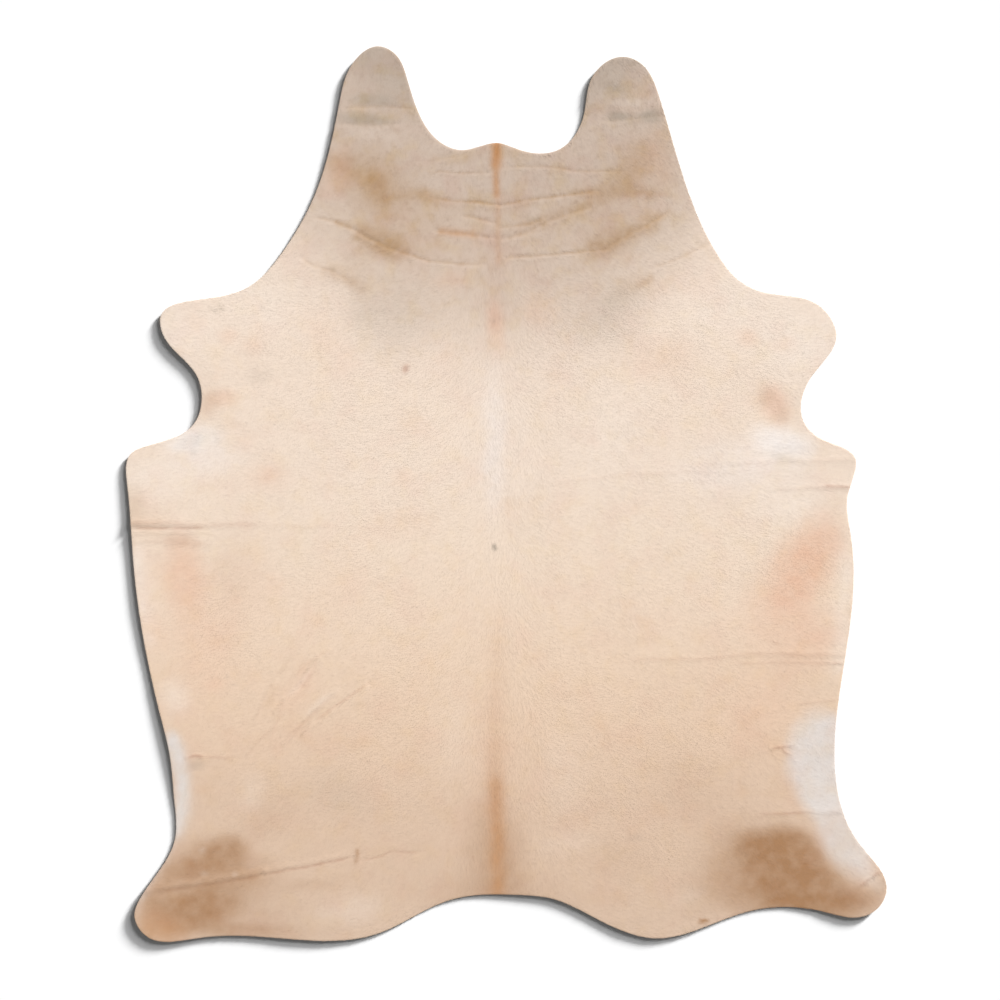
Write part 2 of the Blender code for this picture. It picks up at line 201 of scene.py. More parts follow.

# %% [markdown]
# ## Creases
# A hide is shipped folded, and the folds stay in it as low ridges that run in from the
# flanks. The neck and cheeks have growth wrinkles, which are shallow troughs. Cloth
# simulation would make folds somewhere, but not these ones, so each is a row of a table:
# how high it stands at its two ends in millimetres, its half width in centimetres, how
# much painted shade darkens the coat along it and how widely, and its points in
# centimetres.

# %% Table of creases
# Besides its relief, each crease paints shade on the coat along its line: the two numbers before the points
# say how dark and how wide.
Crease = namedtuple("Crease", "name first_rise last_rise half_width stain stain_width points")
CREASES = [
    Crease("left flank", 1.9, 0.2, 1, 0.2, 0.8, [(-94, -7.2), (-82.1, -6.9), (-73.7, -7.6), (-58, -7.2)]),
    Crease("left flank, under it", -1.1, -0.2, 0.5, 0.46, 0.3, [(-90, -8.2), (-81, -8.1), (-72, -8.2)]),
    Crease("left flank, lip", 0.8, 0.3, 0.5, 0, 0.3, [(-92, -9.4), (-81, -9.2), (-70, -9.3)]),
    Crease("left flank, second", 0.5, 0.2, 0.8, 0.12, 0.7, [(-89, -11.4), (-80, -11.6), (-70, -12.2)]),
    Crease("left flank, long", 0.3, 0.1, 0.7, 0.06, 0.5, [(-60, -7.4), (-42, -7.9), (-27, -8.4)]),
    Crease("right elbow", 0.2, 1.1, 0.9, 0.1, 0.6, [(44.2, 6.9), (61.1, 7.7), (70.7, 7.8), (84, 8.4)]),
    Crease("right elbow, long", 0.2, 0.4, 0.7, 0.07, 0.6, [(8, 2.4), (30, 4.6), (48, 5.6), (63, 5.4)]),
    Crease("right armpit", 0.2, 1.1, 0.7, 0.1, 0.5, [(64, 0.9), (74.3, 1.7), (85, 1.4)]),
    Crease("right armpit, end", 0.4, 1, 0.5, 0.45, 0.3, [(76.5, 2.1), (80, 1.9), (83.4, 1.7)]),
    Crease("right flank", 0.3, 1.1, 0.9, 0.14, 0.5,
        [(27.4, -39.9), (46.6, -39.7), (60, -38.3), (84, -38.7)]),
    Crease("right flank, second", 0.2, 0.5, 0.6, 0.14, 0.4, [(54, -40.8), (66, -40.4), (81, -40.6)]),
    Crease("right flank, end", 0.3, 0.7, 0.4, 0.3, 0.3, [(78.4, -40.7), (81, -40.6)]),
    Crease("right flank, faint", 0.2, 0.5, 0.5, 0.15, 0.4, [(70, -50.4), (76, -49.8), (80, -49.6)]),
    Crease("right thigh", 0.4, 1.2, 0.8, 0.4, 0.35, [(60.5, -76.8), (68, -76.9), (75, -76.5), (82, -76.3)]),
    Crease("left thigh", 1.8, 1.6, 0.9, 0, 0.5,
        [(-88, -95.9), (-79.7, -94.2), (-67.7, -92.4), (-58.1, -90.7)]),
    Crease("left thigh, line", -0.7, -0.5, 0.8, 0.44, 0.5,
        [(-84, -95.8), (-73.7, -94.1), (-67.7, -93.4), (-58.1, -91.6)]),
    Crease("left rump", 1.3, 0.5, 0.8, 0, 0.5, [(-58.1, -90.7), (-42.4, -87.8), (-36, -86.6)]),
    Crease("left rump, line", -0.7, -0.3, 0.5, 0.45, 0.3, [(-58.1, -91.5), (-42.4, -88.6), (-37, -87.4)]),
    Crease("left rump, end", -0.4, -0.3, 0.5, 0.3, 0.3,
        [(-34.6, -88.2), (-30, -87.2), (-28, -85.9), (-20.6, -86.4)]),
    Crease("loin, long", 1, 1.2, 0.6, 0, 0.5, [(-48.8, -57.6), (-41.2, -52), (-33.6, -46.4)]),
    Crease("loin, long, shaded side", -0.5, -0.7, 0.5, 0.26, 0.35,
        [(-46, -54.6), (-40.8, -50.8), (-33, -45.4)]),
    Crease("loin, short", 0.9, 1.1, 0.6, 0, 0.5,
        [(-55.6, -52.4), (-50.4, -47), (-47.6, -43), (-45, -39.6)]),
    Crease("loin, short, shaded side", -0.4, -0.5, 0.5, 0.24, 0.4,
        [(-49.6, -47), (-47.2, -43.6), (-45, -39.8)]),
    Crease("loin, faint", 0.4, 0.3, 0.8, 0.12, 0.5, [(-56.8, -59), (-54.6, -54), (-53.2, -49.6)]),
    Crease("loin, scrape", 0.5, 0.4, 0.5, 0.14, 0.4,
        [(-53.6, -60), (-49, -55.4), (-44.6, -51), (-40.6, -47.6)]),
    Crease("loin, upper scrape", 0.4, 0.4, 0.5, 0.12, 0.4, [(-50.6, -43.4), (-46, -39.6), (-42.4, -37.4)]),
    Crease("loin, outer scrape", 0.4, 0.3, 0.5, 0.12, 0.4, [(-60.4, -54.8), (-58.2, -49.6), (-55.6, -45)]),
    Crease("loin, low scrape", 0.4, 0.3, 0.5, 0.12, 0.4, [(-62, -63), (-58.6, -58.6), (-55, -55.6)]),
    Crease("right shank", 0.6, 1.4, 0.6, 0.55, 0.3, [(84.8, -94.4), (87.4, -92.6), (90.2, -90.7)]),
    Crease("left flank, inner", 0.8, 0.6, 0.5, 0.55, 0.35,
        [(-76.8, -63.5), (-74.6, -62.9), (-72.9, -63.3)]),
    Crease("left flank, inner, long", 0.4, 0.2, 0.5, 0.26, 0.3,
        [(-73.4, -63.2), (-70, -63.2), (-65.6, -63.8)]),
    Crease("right flank, inner", 0.8, 0.6, 0.5, 0.5, 0.35, [(63.8, -61), (65.6, -60.9), (69.6, -60.4)]),
    Crease("right flank, branch", 0.6, 0.4, 0.4, 0.45, 0.3, [(66.3, -61.6), (68, -62.6), (69.5, -64.3)]),
]
WRINKLES = [
    Crease("left neck, first", -0.3, -0.5, 0.5, 0.4, 0.28,
        [(-18.4, 76.8), (-16.5, 77.6), (-9.7, 77.3), (-3.7, 77.5)]),
    Crease("left neck, faint", -0.2, -0.3, 0.5, 0.14, 0.5, [(-20.3, 79.7), (-14.7, 80.9), (-9.7, 81.9)]),
    Crease("left neck, second", -0.4, -0.8, 0.5, 0.62, 0.38,
        [(-17, 71.2), (-12.8, 70.7), (-7.9, 70.4), (-3.7, 69.9), (-1.7, 69.8)]),
    Crease("left neck, third", -0.4, -0.7, 0.5, 0.35, 0.5, [(-10.4, 67.1), (-6.7, 66.5), (-2.9, 65.5)]),
    Crease("left neck, fourth", -0.4, -0.6, 0.6, 0.32, 0.45, [(-17, 63.4), (-10.4, 62.6), (-2.9, 61.8)]),
    Crease("left shoulder", -0.8, -0.4, 0.6, 0.36, 0.35,
        [(-36.8, 63.8), (-29.4, 59.7), (-18.9, 56.1), (-11.6, 55.5), (-5.4, 55.3)]),
    Crease("left shoulder, upper", -0.5, -0.3, 0.5, 0.3, 0.4, [(-45.6, 66.6), (-41, 65.7), (-37, 63.8)]),
    Crease("left shoulder, low", -0.4, -0.3, 0.5, 0.2, 0.4,
        [(-49, 56.7), (-45.9, 54.9), (-41.7, 53.7), (-37.4, 51.2)]),
    Crease("right neck, first", -0.5, -0.3, 0.5, 0.3, 0.3,
        [(0.1, 78.8), (5.6, 79), (11.7, 78.7), (16.7, 77.9), (27.7, 77.6)]),
    Crease("right neck, second", -0.7, -0.4, 0.5, 0.55, 0.34,
        [(-1.7, 69.6), (4.4, 70.8), (11.2, 71.5), (16.1, 72.3), (22, 73)]),
    Crease("right neck, third", -0.6, -0.4, 0.6, 0.32, 0.35,
        [(-0.8, 61.6), (6, 63.6), (12.9, 66.9), (20, 69)]),
    Crease("right neck, fourth", -0.4, -0.3, 0.5, 0.32, 0.35,
        [(-1.6, 64.3), (1.3, 64.7), (5.6, 65), (9.3, 66.4)]),
    Crease("right neck, low", -0.3, -0.3, 0.5, 0.22, 0.3, [(-0.6, 61.2), (3.8, 62.4), (9.3, 63.7)]),
    Crease("right shoulder", -0.6, -0.5, 0.5, 0.45, 0.32,
        [(0.1, 57), (5.6, 57.3), (11.7, 57.8), (17.9, 58.4), (24.6, 58.9)]),
    Crease("right shoulder, upper", -0.4, -0.5, 0.6, 0.22, 0.4,
        [(24, 59.5), (27.7, 61.6), (32, 63.8), (38.8, 67.8)]),
    Crease("right shoulder, low", -0.3, -0.3, 0.6, 0.25, 0.4, [(35.1, 54.4), (41.2, 56.7), (48.4, 60)]),
    Crease("left cheek, upper", -0.3, -0.3, 0.5, 0.22, 0.3, [(-38.8, 93), (-30, 93.4), (-20.7, 92.8)]),
    Crease("left cheek, lower", -0.4, -0.3, 0.6, 0.1, 0.4, [(-40.5, 89.2), (-32, 88.8), (-26, 89.2)]),
    Crease("right cheek", -0.3, -0.4, 0.6, 0.12, 0.4, [(22.6, 89.8), (30, 90.2), (38.4, 91.2)]),
]
CREASE_WANDER = 2.5 * MILLIMETRE
CREASE_WANDER_SIZE = 5.0 * CENTIMETRE


def crease_line(crease):
    """The crease's points in metres."""
    return np.array(crease.points) * CENTIMETRE


def crease_relief(points):
    """Height that the creases add at each point."""
    loose = wandered(points, CREASE_WANDER_SIZE, CREASE_WANDER)
    height = np.zeros(len(points))
    for crease in CREASES + WRINKLES:
        gap, progress = along_line(loose, crease_line(crease))
        near = np.exp(-((gap / (crease.half_width * CENTIMETRE)) ** 2))
        rise = crease.first_rise + (crease.last_rise - crease.first_rise) * progress
        height += rise * MILLIMETRE * near
    return height


print("creases:", len(CREASES), "and wrinkles:", len(WRINKLES))

# %% [markdown]
# ## The leather sheet
# The leather is one thin sheet. Its hair side needs points close enough for the creases,
# so a coarse staggered grid gets finer along each of them. A Delaunay triangulation then
# joins the points inside the cut edge. The broad rise and fall comes from the solid, by
# a ray dropped on it at each point, and is smoothed until its flat faces are gone. The
# creases are added last, so that the smoothing doesn't wear them down.

# %% Points and triangles of the hair side
FINE_STEP = 4.2 * MILLIMETRE
COARSE_EVERY = 2
CREASE_BAND = 11.0 * MILLIMETRE
EDGE_CLEARANCE = 3.5 * MILLIMETRE
ROW_SHARE = 0.866
TOP_INSET = 4.0 * MILLIMETRE


def staggered_grid(step):
    """Points in rows, each row shifted by half a step, with their row and column."""
    low, high = cut_edge.min(axis=0), cut_edge.max(axis=0)
    rows = np.arange(int((high[1] - low[1]) / (step * ROW_SHARE)) + 1)
    columns = np.arange(int((high[0] - low[0]) / step) + 1)
    row, column = (each.ravel() for each in np.meshgrid(rows, columns, indexing="ij"))
    across = low[0] + (column + 0.5 * (row % 2)) * step
    along = low[1] + row * step * ROW_SHARE
    return np.column_stack([across, along]), row, column


def triangulated(ring, inner):
    """Joins the inner points and the ring round them into triangles."""
    rim = [(i, (i + 1) % len(ring)) for i in range(len(ring))]
    inside_only = 1
    points, _, triangles, _, _, _ = delaunay_2d_cdt(
        [tuple(point) for point in np.vstack([ring, inner])], rim, [], inside_only, WELD
    )
    return np.array([tuple(point) for point in points]), np.array(triangles)


grid, row, column = staggered_grid(FINE_STEP)
coarse = (row % COARSE_EVERY == 0) & ((column - (row // COARSE_EVERY) % 2) % COARSE_EVERY == 0)
by_a_crease = np.zeros(len(grid), bool)
for crease in CREASES + WRINKLES:
    by_a_crease |= along_line(grid, crease_line(crease))[0] < CREASE_BAND
grid = grid[coarse | by_a_crease]
grid = grid[depth_inside(grid) > TOP_INSET + EDGE_CLEARANCE]
top_ring = cut_edge - outward * TOP_INSET
top_points, top_triangles = triangulated(top_ring, grid)
print("hair side:", len(top_points), "points,", len(top_triangles), "triangles")

# %% Heights of the hair side
HAIR_ALLOWANCE = 0.7 * MILLIMETRE
SMOOTHING_ROUNDS = 160
UNEVEN = [(30.0 * CENTIMETRE, 0.5 * MILLIMETRE), (9.0 * CENTIMETRE, 0.22 * MILLIMETRE)]
UNEVEN_LAYER = 4.0
HIGH_ABOVE = 1.0
DOWN = Vector((0.0, 0.0, -1.0))


def height_on(tree, points):
    """Height of a shape under each point, by a ray from above, or else at its nearest place."""
    heights = []
    for across, along in points:
        place = tree.ray_cast(Vector((across, along, HIGH_ABOVE)), DOWN)[0]
        place = place or tree.find_nearest(Vector((across, along, 0.0)))[0]
        heights.append(place.z)
    return np.array(heights)


def smoothed(values, triangles, rounds):
    """Each value moved towards the mean of its neighbours, many times over."""
    ends = np.vstack([triangles[:, [0, 1]], triangles[:, [1, 2]], triangles[:, [2, 0]]])
    here, there = np.vstack([ends, ends[:, ::-1]]).T
    count = np.bincount(here, minlength=len(values))
    for _ in range(rounds):
        values = 0.5 * values + 0.5 * np.bincount(here, values[there], len(values)) / count
    return values


def unevenness(points):
    """A slight wave all over, as no skin lies perfectly flat."""
    return sum(amount * smooth_noise(points, size, UNEVEN_LAYER) for size, amount in UNEVEN)


broad = smoothed(height_on(solid_tree, top_points), top_triangles, SMOOTHING_ROUNDS)
top_height = broad - HAIR_ALLOWANCE + crease_relief(top_points) + unevenness(top_points)
print("hair side lies from", round(top_height.min(), 4), "to", round(top_height.max(), 4), "m")

# %% [markdown]
# ## The edge and the flesh side
# At the cut edge the section is easy to see: the coat rolls over, then comes a thin pale
# band of bare leather, then the suede of the flesh side. Rings of points down the edge
# make those bands. The flesh side needs far fewer faces, so it has a coarse grid of its
# own, a leather's thickness below the hair side.

# %% Build the sheet
EdgeRing = namedtuple("EdgeRing", "name inset drop")
EDGE_RINGS = [
    EdgeRing("round the shoulder", 2.2 * MILLIMETRE, 0.08),
    EdgeRing("lower shoulder", 0.8 * MILLIMETRE, 0.26),
    EdgeRing("cut, upper", 0.0, 0.50),
    EdgeRing("cut, lower", 0.1 * MILLIMETRE, 0.80),
    EdgeRing("flesh side", 0.9 * MILLIMETRE, 1.0),
]
FIRST_BARE_BAND = 3
LEATHER_MIDDLE = 3.2 * MILLIMETRE
LEATHER_BELLY = 2.5 * MILLIMETRE
BELLY_REACH = 25.0 * CENTIMETRE
FLESH_STEP = 24.0 * MILLIMETRE
FLOOR_GAP = 0.02 * MILLIMETRE
HAIR_SIDE, CUT_EDGE, FLESH_SIDE = 0, 1, 2


def thickness(points):
    """The leather thins towards the belly edge."""
    inward = np.clip(depth_inside(points) / BELLY_REACH, 0.0, 1.0)
    return LEATHER_BELLY + (LEATHER_MIDDLE - LEATHER_BELLY) * eased(inward)


def tree_of(points, heights, triangles):
    """A shape that rays can be dropped on."""
    corners = [tuple(corner) for corner in np.column_stack([points, heights])]
    return BVHTree.FromPolygons(corners, triangles.tolist())


top_tree = tree_of(top_points, top_height, top_triangles)
rim_count = len(cut_edge)
rim_high = top_height[:rim_count]
rim_low = np.maximum(rim_high - LEATHER_BELLY, FLOOR_GAP)

flesh_grid = staggered_grid(FLESH_STEP)[0]
flesh_grid = flesh_grid[depth_inside(flesh_grid) > FLESH_STEP / 2.0]
flesh_points, flesh_triangles = triangulated(cut_edge - outward * EDGE_RINGS[-1].inset, flesh_grid)
flesh_inner = flesh_points[rim_count:]
flesh_height = np.maximum(height_on(top_tree, flesh_inner) - thickness(flesh_inner), FLOOR_GAP)

layers = [np.column_stack([top_points, top_height])]
for edge_ring in EDGE_RINGS:
    height = rim_high + (rim_low - rim_high) * edge_ring.drop
    layers.append(np.column_stack([cut_edge - outward * edge_ring.inset, height]))
layers.append(np.column_stack([flesh_inner, flesh_height]))
starts = np.concatenate([[0], np.cumsum([len(layer) for layer in layers])])

triangles, kinds = [top_triangles], [np.full(len(top_triangles), HAIR_SIDE)]
here = np.arange(rim_count)
following = np.roll(here, -1)
for band, (upper, lower) in enumerate(zip([0, *starts[1:]], starts[1 : 1 + len(EDGE_RINGS)])):
    kind = CUT_EDGE if band >= FIRST_BARE_BAND else HAIR_SIDE
    for three in (
        (upper + here, lower + here, lower + following),
        (upper + here, lower + following, upper + following),
    ):
        triangles.append(np.column_stack(three))
        kinds.append(np.full(rim_count, kind))
last_ring, inner_start = starts[len(EDGE_RINGS)], starts[len(EDGE_RINGS) + 1]
on_the_ring = flesh_triangles < rim_count
flesh_corner = flesh_triangles + np.where(on_the_ring, last_ring, inner_start - rim_count)
triangles.append(flesh_corner[:, ::-1])
kinds.append(np.full(len(flesh_corner), FLESH_SIDE))
corners, triangles, kinds = np.vstack(layers), np.vstack(triangles), np.concatenate(kinds)
print("sheet:", len(corners), "points,", len(triangles), "triangles")

# %% [markdown]
# ## Mesh objects from arrays
# Both the sheet and the hair are built from arrays of corners and triangles. The same
# helper makes either object. Each also gets a flat map seen from straight above, for
# anyone who wants to bake the coat into an image: on the sheet's, the hair side takes
# most of the width, and the flesh side a strip beside it.

# %% Make the sheet object
BAKE_STRIP = 0.86
SHARP_ANGLE = 0.9


def mesh_object(name, corners, triangles, flat_map=None):
    """An object from corner places and triangles, with a flat map if one is given."""
    mesh = bpy.data.meshes.new(name)
    mesh.vertices.add(len(corners))
    mesh.vertices.foreach_set("co", corners.astype(np.float32).ravel())
    mesh.loops.add(triangles.size)
    mesh.loops.foreach_set("vertex_index", triangles.astype(np.int32).ravel())
    mesh.polygons.add(len(triangles))
    mesh.polygons.foreach_set("loop_start", np.arange(0, triangles.size, 3, dtype=np.int32))
    mesh.update(calc_edges=True)
    if flat_map is not None:
        layer = mesh.uv_layers.new(name=BAKE_MAP)
        layer.uv.foreach_set("vector", flat_map.astype(np.float32).ravel())
    made = bpy.data.objects.new(name, mesh)
    bpy.context.scene.collection.objects.link(made)
    return made


def number_on(mesh, name, values):
    """A number for each point of the mesh, which a material can read by its name."""
    mesh.attributes.new(name, "FLOAT", "POINT").data.foreach_set("value", values.astype(np.float32))


def from_above(places):
    """Places on the flat map: the whole hide to one scale."""
    low, high = cut_edge.min(axis=0), cut_edge.max(axis=0)
    return (places[..., :2] - low) / (high[1] - low[1])


sheet_map = from_above(corners)[triangles]
under = kinds == FLESH_SIDE
sheet_map[under, :, 0] = BAKE_STRIP + sheet_map[under, :, 0] * (1.0 - BAKE_STRIP)
sheet = mesh_object("hide_sheet", corners, triangles, sheet_map)
sheet.data.polygons.foreach_set("material_index", kinds.astype(np.int32))
sheet.data.shade_smooth()
sheet.data.set_sharp_from_angle(angle=SHARP_ANGLE)
print("sheet faces:", len(sheet.data.polygons))

# %% [markdown]
# ## Which way the hair lies
# A cow's coat is combed by growth: along the back it points to the tail, and from there
# it turns out and down over each side to the belly and legs. A few combs in a table give
# that direction, each with a place, a reach and a heading. At any point the headings are
# mixed by how near their combs are, and some noise curls them, as short hair never lies
# quite straight.

# %% Table of combs
Comb = namedtuple("Comb", "name across along reach heading")
COMBS = [
    Comb("back, neck", -2.2, 70, 9, -90),
    Comb("back, withers", -2.2, 40, 8, -90),
    Comb("back, middle", -2.2, 10, 8, -90),
    Comb("back, loin", -2.2, -25, 8, -90),
    Comb("back, rump", -2.2, -60, 9, -90),
    Comb("back, tail", -2.2, -92, 10, -90),
    Comb("left neck", -20, 66, 18, -125),
    Comb("right neck", 17, 66, 18, -55),
    Comb("left cheek", -32, 96, 16, -108),
    Comb("right cheek", 29, 96, 16, -72),
    Comb("left shoulder", -45, 38, 26, -168),
    Comb("right shoulder", 42, 38, 26, -12),
    Comb("left foreleg", -78, 36, 12, 172),
    Comb("right foreleg", 75, 36, 12, 8),
    Comb("left side", -45, -10, 32, -166),
    Comb("right side", 42, -10, 32, -14),
    Comb("left loin", -42, -55, 28, -158),
    Comb("right loin", 40, -55, 28, -22),
    Comb("left thigh", -60, -86, 18, -150),
    Comb("right thigh", 58, -86, 18, -30),
    Comb("left shank", -84, -98, 12, -150),
    Comb("right shank", 84, -96, 12, -32),
]
FLOW_CURLS = [(11.0 * CENTIMETRE, 0.60), (3.5 * CENTIMETRE, 0.56)]
CURL_LAYER = 9.0
COMB_FAR_SHARE = 0.002


def hair_flow(points):
    """The heading of the hair at each point, as an angle in the plane."""
    arrows = np.zeros((len(points), 2))
    for comb in COMBS:
        gap = np.linalg.norm(points / CENTIMETRE - (comb.across, comb.along), axis=1)
        far = (gap / comb.reach) ** 2
        weight = np.exp(-far) + COMB_FAR_SHARE / (1.0 + far)
        turn = np.radians(comb.heading)
        arrows += weight[:, None] * (np.cos(turn), np.sin(turn))
    heading = np.arctan2(arrows[:, 1], arrows[:, 0])
    for size, amount in FLOW_CURLS:
        heading += amount * smooth_noise(points, size, CURL_LAYER)
    return heading


print("combs:", len(COMBS))

# %% [markdown]
# ## The hair
# Blender's own hair would be curves, which don't travel to other programs as surfaces.
# Here each lock is a small closed spike with four corners: two across the root, a keel
# under it and a tip, so it costs four triangles. All of them come from arrays in one go.
# They are short, lie almost flat and overlap like thatch. A lock that would reach past
# the cut edge is shortened, as the trimming knife does it.

# %% Roots of the locks
LOCK_SPACING = 4.14 * MILLIMETRE
ROOT_JITTER = 0.42
ROOT_EDGE_CLEARANCE = 0.6 * MILLIMETRE
LOCK_SEED = 11

chance = np.random.default_rng(LOCK_SEED)
roots = staggered_grid(LOCK_SPACING)[0]
roots = roots + chance.uniform(-ROOT_JITTER, ROOT_JITTER, roots.shape) * LOCK_SPACING
roots = roots[depth_inside(roots) > ROOT_EDGE_CLEARANCE]

sheet_tree = tree_of(corners[:, :2], corners[:, 2], triangles)
root_height, root_normal = [], []
for across, along in roots:
    place, normal = sheet_tree.ray_cast(Vector((across, along, HIGH_ABOVE)), DOWN)[:2]
    root_height.append(place.z)
    root_normal.append(normal[:])
root_height, root_normal = np.array(root_height), np.array(root_normal)
print("locks:", len(roots))

# %% Shape of the locks
LOCK_LENGTH = (9.0 * MILLIMETRE, 15.0 * MILLIMETRE)
LOCK_WIDTH = (1.0 * MILLIMETRE, 1.7 * MILLIMETRE)
LOCK_LIFT = (1.0, 2.5)
LOCK_KEEL = 0.2 * MILLIMETRE
LOCK_BASE = 0.06 * MILLIMETRE
LOCK_TURN = 0.22
PAST_THE_EDGE = 1.4 * MILLIMETRE
SHORTEST_LOCK = 2.5 * MILLIMETRE
TRIM_ROUNDS = 3
TRIM_FACTOR = 1.2
NORMAL_JITTER = 0.018


def in_range(limits, count):
    """Random values between two limits."""
    return chance.uniform(*limits, count)


count = len(roots)
turn = hair_flow(roots) + chance.normal(0.0, LOCK_TURN, count)
arrow = np.column_stack([np.cos(turn), np.sin(turn), np.zeros(count)])
ahead = arrow - root_normal * (arrow * root_normal).sum(axis=1)[:, None]
ahead /= np.linalg.norm(ahead, axis=1)[:, None]
side = np.cross(root_normal, ahead)
lift = np.radians(in_range(LOCK_LIFT, count))[:, None]
length = in_range(LOCK_LENGTH, count)
half_width = in_range(LOCK_WIDTH, count)[:, None] / 2.0

base = np.column_stack([roots, root_height]) + root_normal * LOCK_BASE
reach = ahead * np.cos(lift) + root_normal * np.sin(lift)
for _ in range(TRIM_ROUNDS):
    past = -PAST_THE_EDGE - depth_inside((base + reach * length[:, None])[:, :2])
    length = np.where(past > 0.0, np.maximum(length - TRIM_FACTOR * past, SHORTEST_LOCK), length)
tip = base + reach * length[:, None]
lock_corners = np.stack(
    [base + side * half_width, base - side * half_width, base - root_normal * LOCK_KEEL, tip], axis=1
)
lock_corners[..., 2] = np.maximum(lock_corners[..., 2], FLOOR_GAP)
lock_normals = root_normal + chance.normal(0.0, NORMAL_JITTER, (count, 3))
lock_normals /= np.linalg.norm(lock_normals, axis=1)[:, None]
print("mean length:", round(float(length.mean()) / MILLIMETRE, 1), "mm")

# %% Make the hair objects
LOCK_FACES = np.array([(0, 1, 3), (0, 3, 2), (1, 2, 3), (0, 2, 1)])
LOCK_CORNERS = 4
SHADE_SPREAD = 0.010
# Each lock gets a random tone; its root is also painted a little darker and its tip a little lighter, as
# painted shade between the locks and painted light on their tips.
ROOT_PAINTED_SHADE, TIP_PAINTED_LIGHT = 0.99, 1.005

shade = 1.0 + chance.normal(0.0, SHADE_SPREAD, count)
lock_tone_and_painted_shade = shade[:, None] * np.array([ROOT_PAINTED_SHADE, ROOT_PAINTED_SHADE, ROOT_PAINTED_SHADE, TIP_PAINTED_LIGHT])

hair = []
on_the_right = roots[:, 0] > np.median(roots[:, 0])
for hand, on_this_hand in (("left", ~on_the_right), ("right", on_the_right)):
    in_front = roots[:, 1] > np.median(roots[on_this_hand, 1])
    for end, at_this_end in (("front", in_front), ("rear", ~in_front)):
        mine = on_this_hand & at_this_end
        places = lock_corners[mine].reshape(-1, 3)
        faces = (np.arange(mine.sum())[:, None, None] * LOCK_CORNERS + LOCK_FACES).reshape(-1, 3)
        low, high = places[:, :2].min(axis=0), places[:, :2].max(axis=0)
        flat_map = (places[:, :2] - low) / (high - low).max()
        piece = mesh_object(f"hair_{hand}_{end}", places, faces, flat_map[faces])
        piece.data.shade_smooth()
        normals = np.repeat(lock_normals[mine], LOCK_CORNERS, axis=0).tolist()
        piece.data.normals_split_custom_set_from_vertices(normals)
        number_on(piece.data, "lock_tone_and_painted_shade", lock_tone_and_painted_shade[mine].ravel())
        hair.append(piece)
        print(piece.name, len(faces), "triangles")

# %% [markdown]
# ## Node helpers
# Materials here are node trees written in code. One helper adds a node with its settings
# and inputs, another starts a node group with named inputs and outputs, and a third sets
# the nodes out in columns so that the tree can be read in the shader editor. Short ones
# then add the kinds of node that come up often. The Mix node has several sockets of one
# name, so its sockets are found by their numbers.

# %% Node helpers
COLUMN_WIDTH, ROW_HEIGHT = 210.0, 190.0


def put(tree, kind, settings, inputs, label=""):
    """Adds a node. Each input is a value, or the output of another node that feeds it."""
    node = tree.nodes.new("ShaderNode" + kind)
    node.label = label
    for name, value in settings.items():
        setattr(node, name, value)
    for name, value in inputs.items():
        if isinstance(value, bpy.types.NodeSocket):
            tree.links.new(value, node.inputs[name])
        else:
            node.inputs[name].default_value = value
    return node


def new_group(name, inputs, outputs):
    """An empty node group. Each input is a name, a kind of socket and a starting value."""
    tree = bpy.data.node_groups.new(name, "ShaderNodeTree")
    for label, kind, value in inputs:
        socket = tree.interface.new_socket(name=label, in_out="INPUT", socket_type="NodeSocket" + kind)
        if value is not None:
            socket.default_value = value
    for label, kind in outputs:
        tree.interface.new_socket(name=label, in_out="OUTPUT", socket_type="NodeSocket" + kind)
    return tree, tree.nodes.new("NodeGroupInput").outputs, tree.nodes.new("NodeGroupOutput").inputs


def arrange(tree):
    """Sets each node to the left of those that it feeds."""
    column = {node: 0 for node in tree.nodes}
    for _ in tree.nodes:
        moved = False
        for link in tree.links:
            wanted = column[link.to_node] + 1
            if column[link.from_node] < wanted:
                column[link.from_node] = wanted
                moved = True
        if not moved:
            break
    filled = {}
    for node in tree.nodes:
        place = filled.get(column[node], 0)
        filled[column[node]] = place + 1
        node.location = (-COLUMN_WIDTH * column[node], -ROW_HEIGHT * place)


print("columns are", COLUMN_WIDTH, "wide and rows", ROW_HEIGHT, "high")

# %% Short ways to add common nodes
MIX_FACTOR, MIX_FIRST, MIX_SECOND, MIX_RESULT = 0, 6, 7, 2


def blended(tree, way, factor, first, second, label=""):
    """A Mix node for two colours, and its result."""
    settings = {"data_type": "RGBA", "blend_type": way}
    inputs = {MIX_FACTOR: factor, MIX_FIRST: first, MIX_SECOND: second}
    return put(tree, "Mix", settings, inputs, label).outputs[MIX_RESULT]


def put_group(tree, group, inputs, label=""):
    """A node that stands for a whole node group."""
    return put(tree, "Group", {"node_tree": group}, inputs, label)


def put_noise(tree, position, scale, detail, label="", **more):
    """A Noise texture at a position, and its grey output."""
    inputs = {"Vector": position, "Scale": scale, "Detail": detail, **more}
    return put(tree, "TexNoise", {}, inputs, label).outputs["Fac"]


def put_math(tree, operation, *values, **settings):
    """A Math node on up to three values, and its result."""
    return put(tree, "Math", {"operation": operation, **settings}, dict(enumerate(values))).outputs[0]


def put_range(tree, value, from_range, to_range, way="LINEAR", label=""):
    """Takes a value from one range to another."""
    inputs = {"Value": value, "From Min": from_range[0], "From Max": from_range[1]}
    inputs |= {"To Min": to_range[0], "To Max": to_range[1]}
    return put(tree, "MapRange", {"interpolation_type": way}, inputs, label).outputs["Result"]


def amount_on(tree, name):
    """A number that the mesh holds at each point."""
    return put(tree, "Attribute", {"attribute_name": name}, {}, name).outputs["Fac"]


def with_value(tree, colour, value):
    """The colour made lighter or darker."""
    return put(tree, "HueSaturation", {}, {"Value": value, "Color": colour}).outputs["Color"]


print("sockets of the Mix node:", MIX_FACTOR, MIX_FIRST, MIX_SECOND, MIX_RESULT)
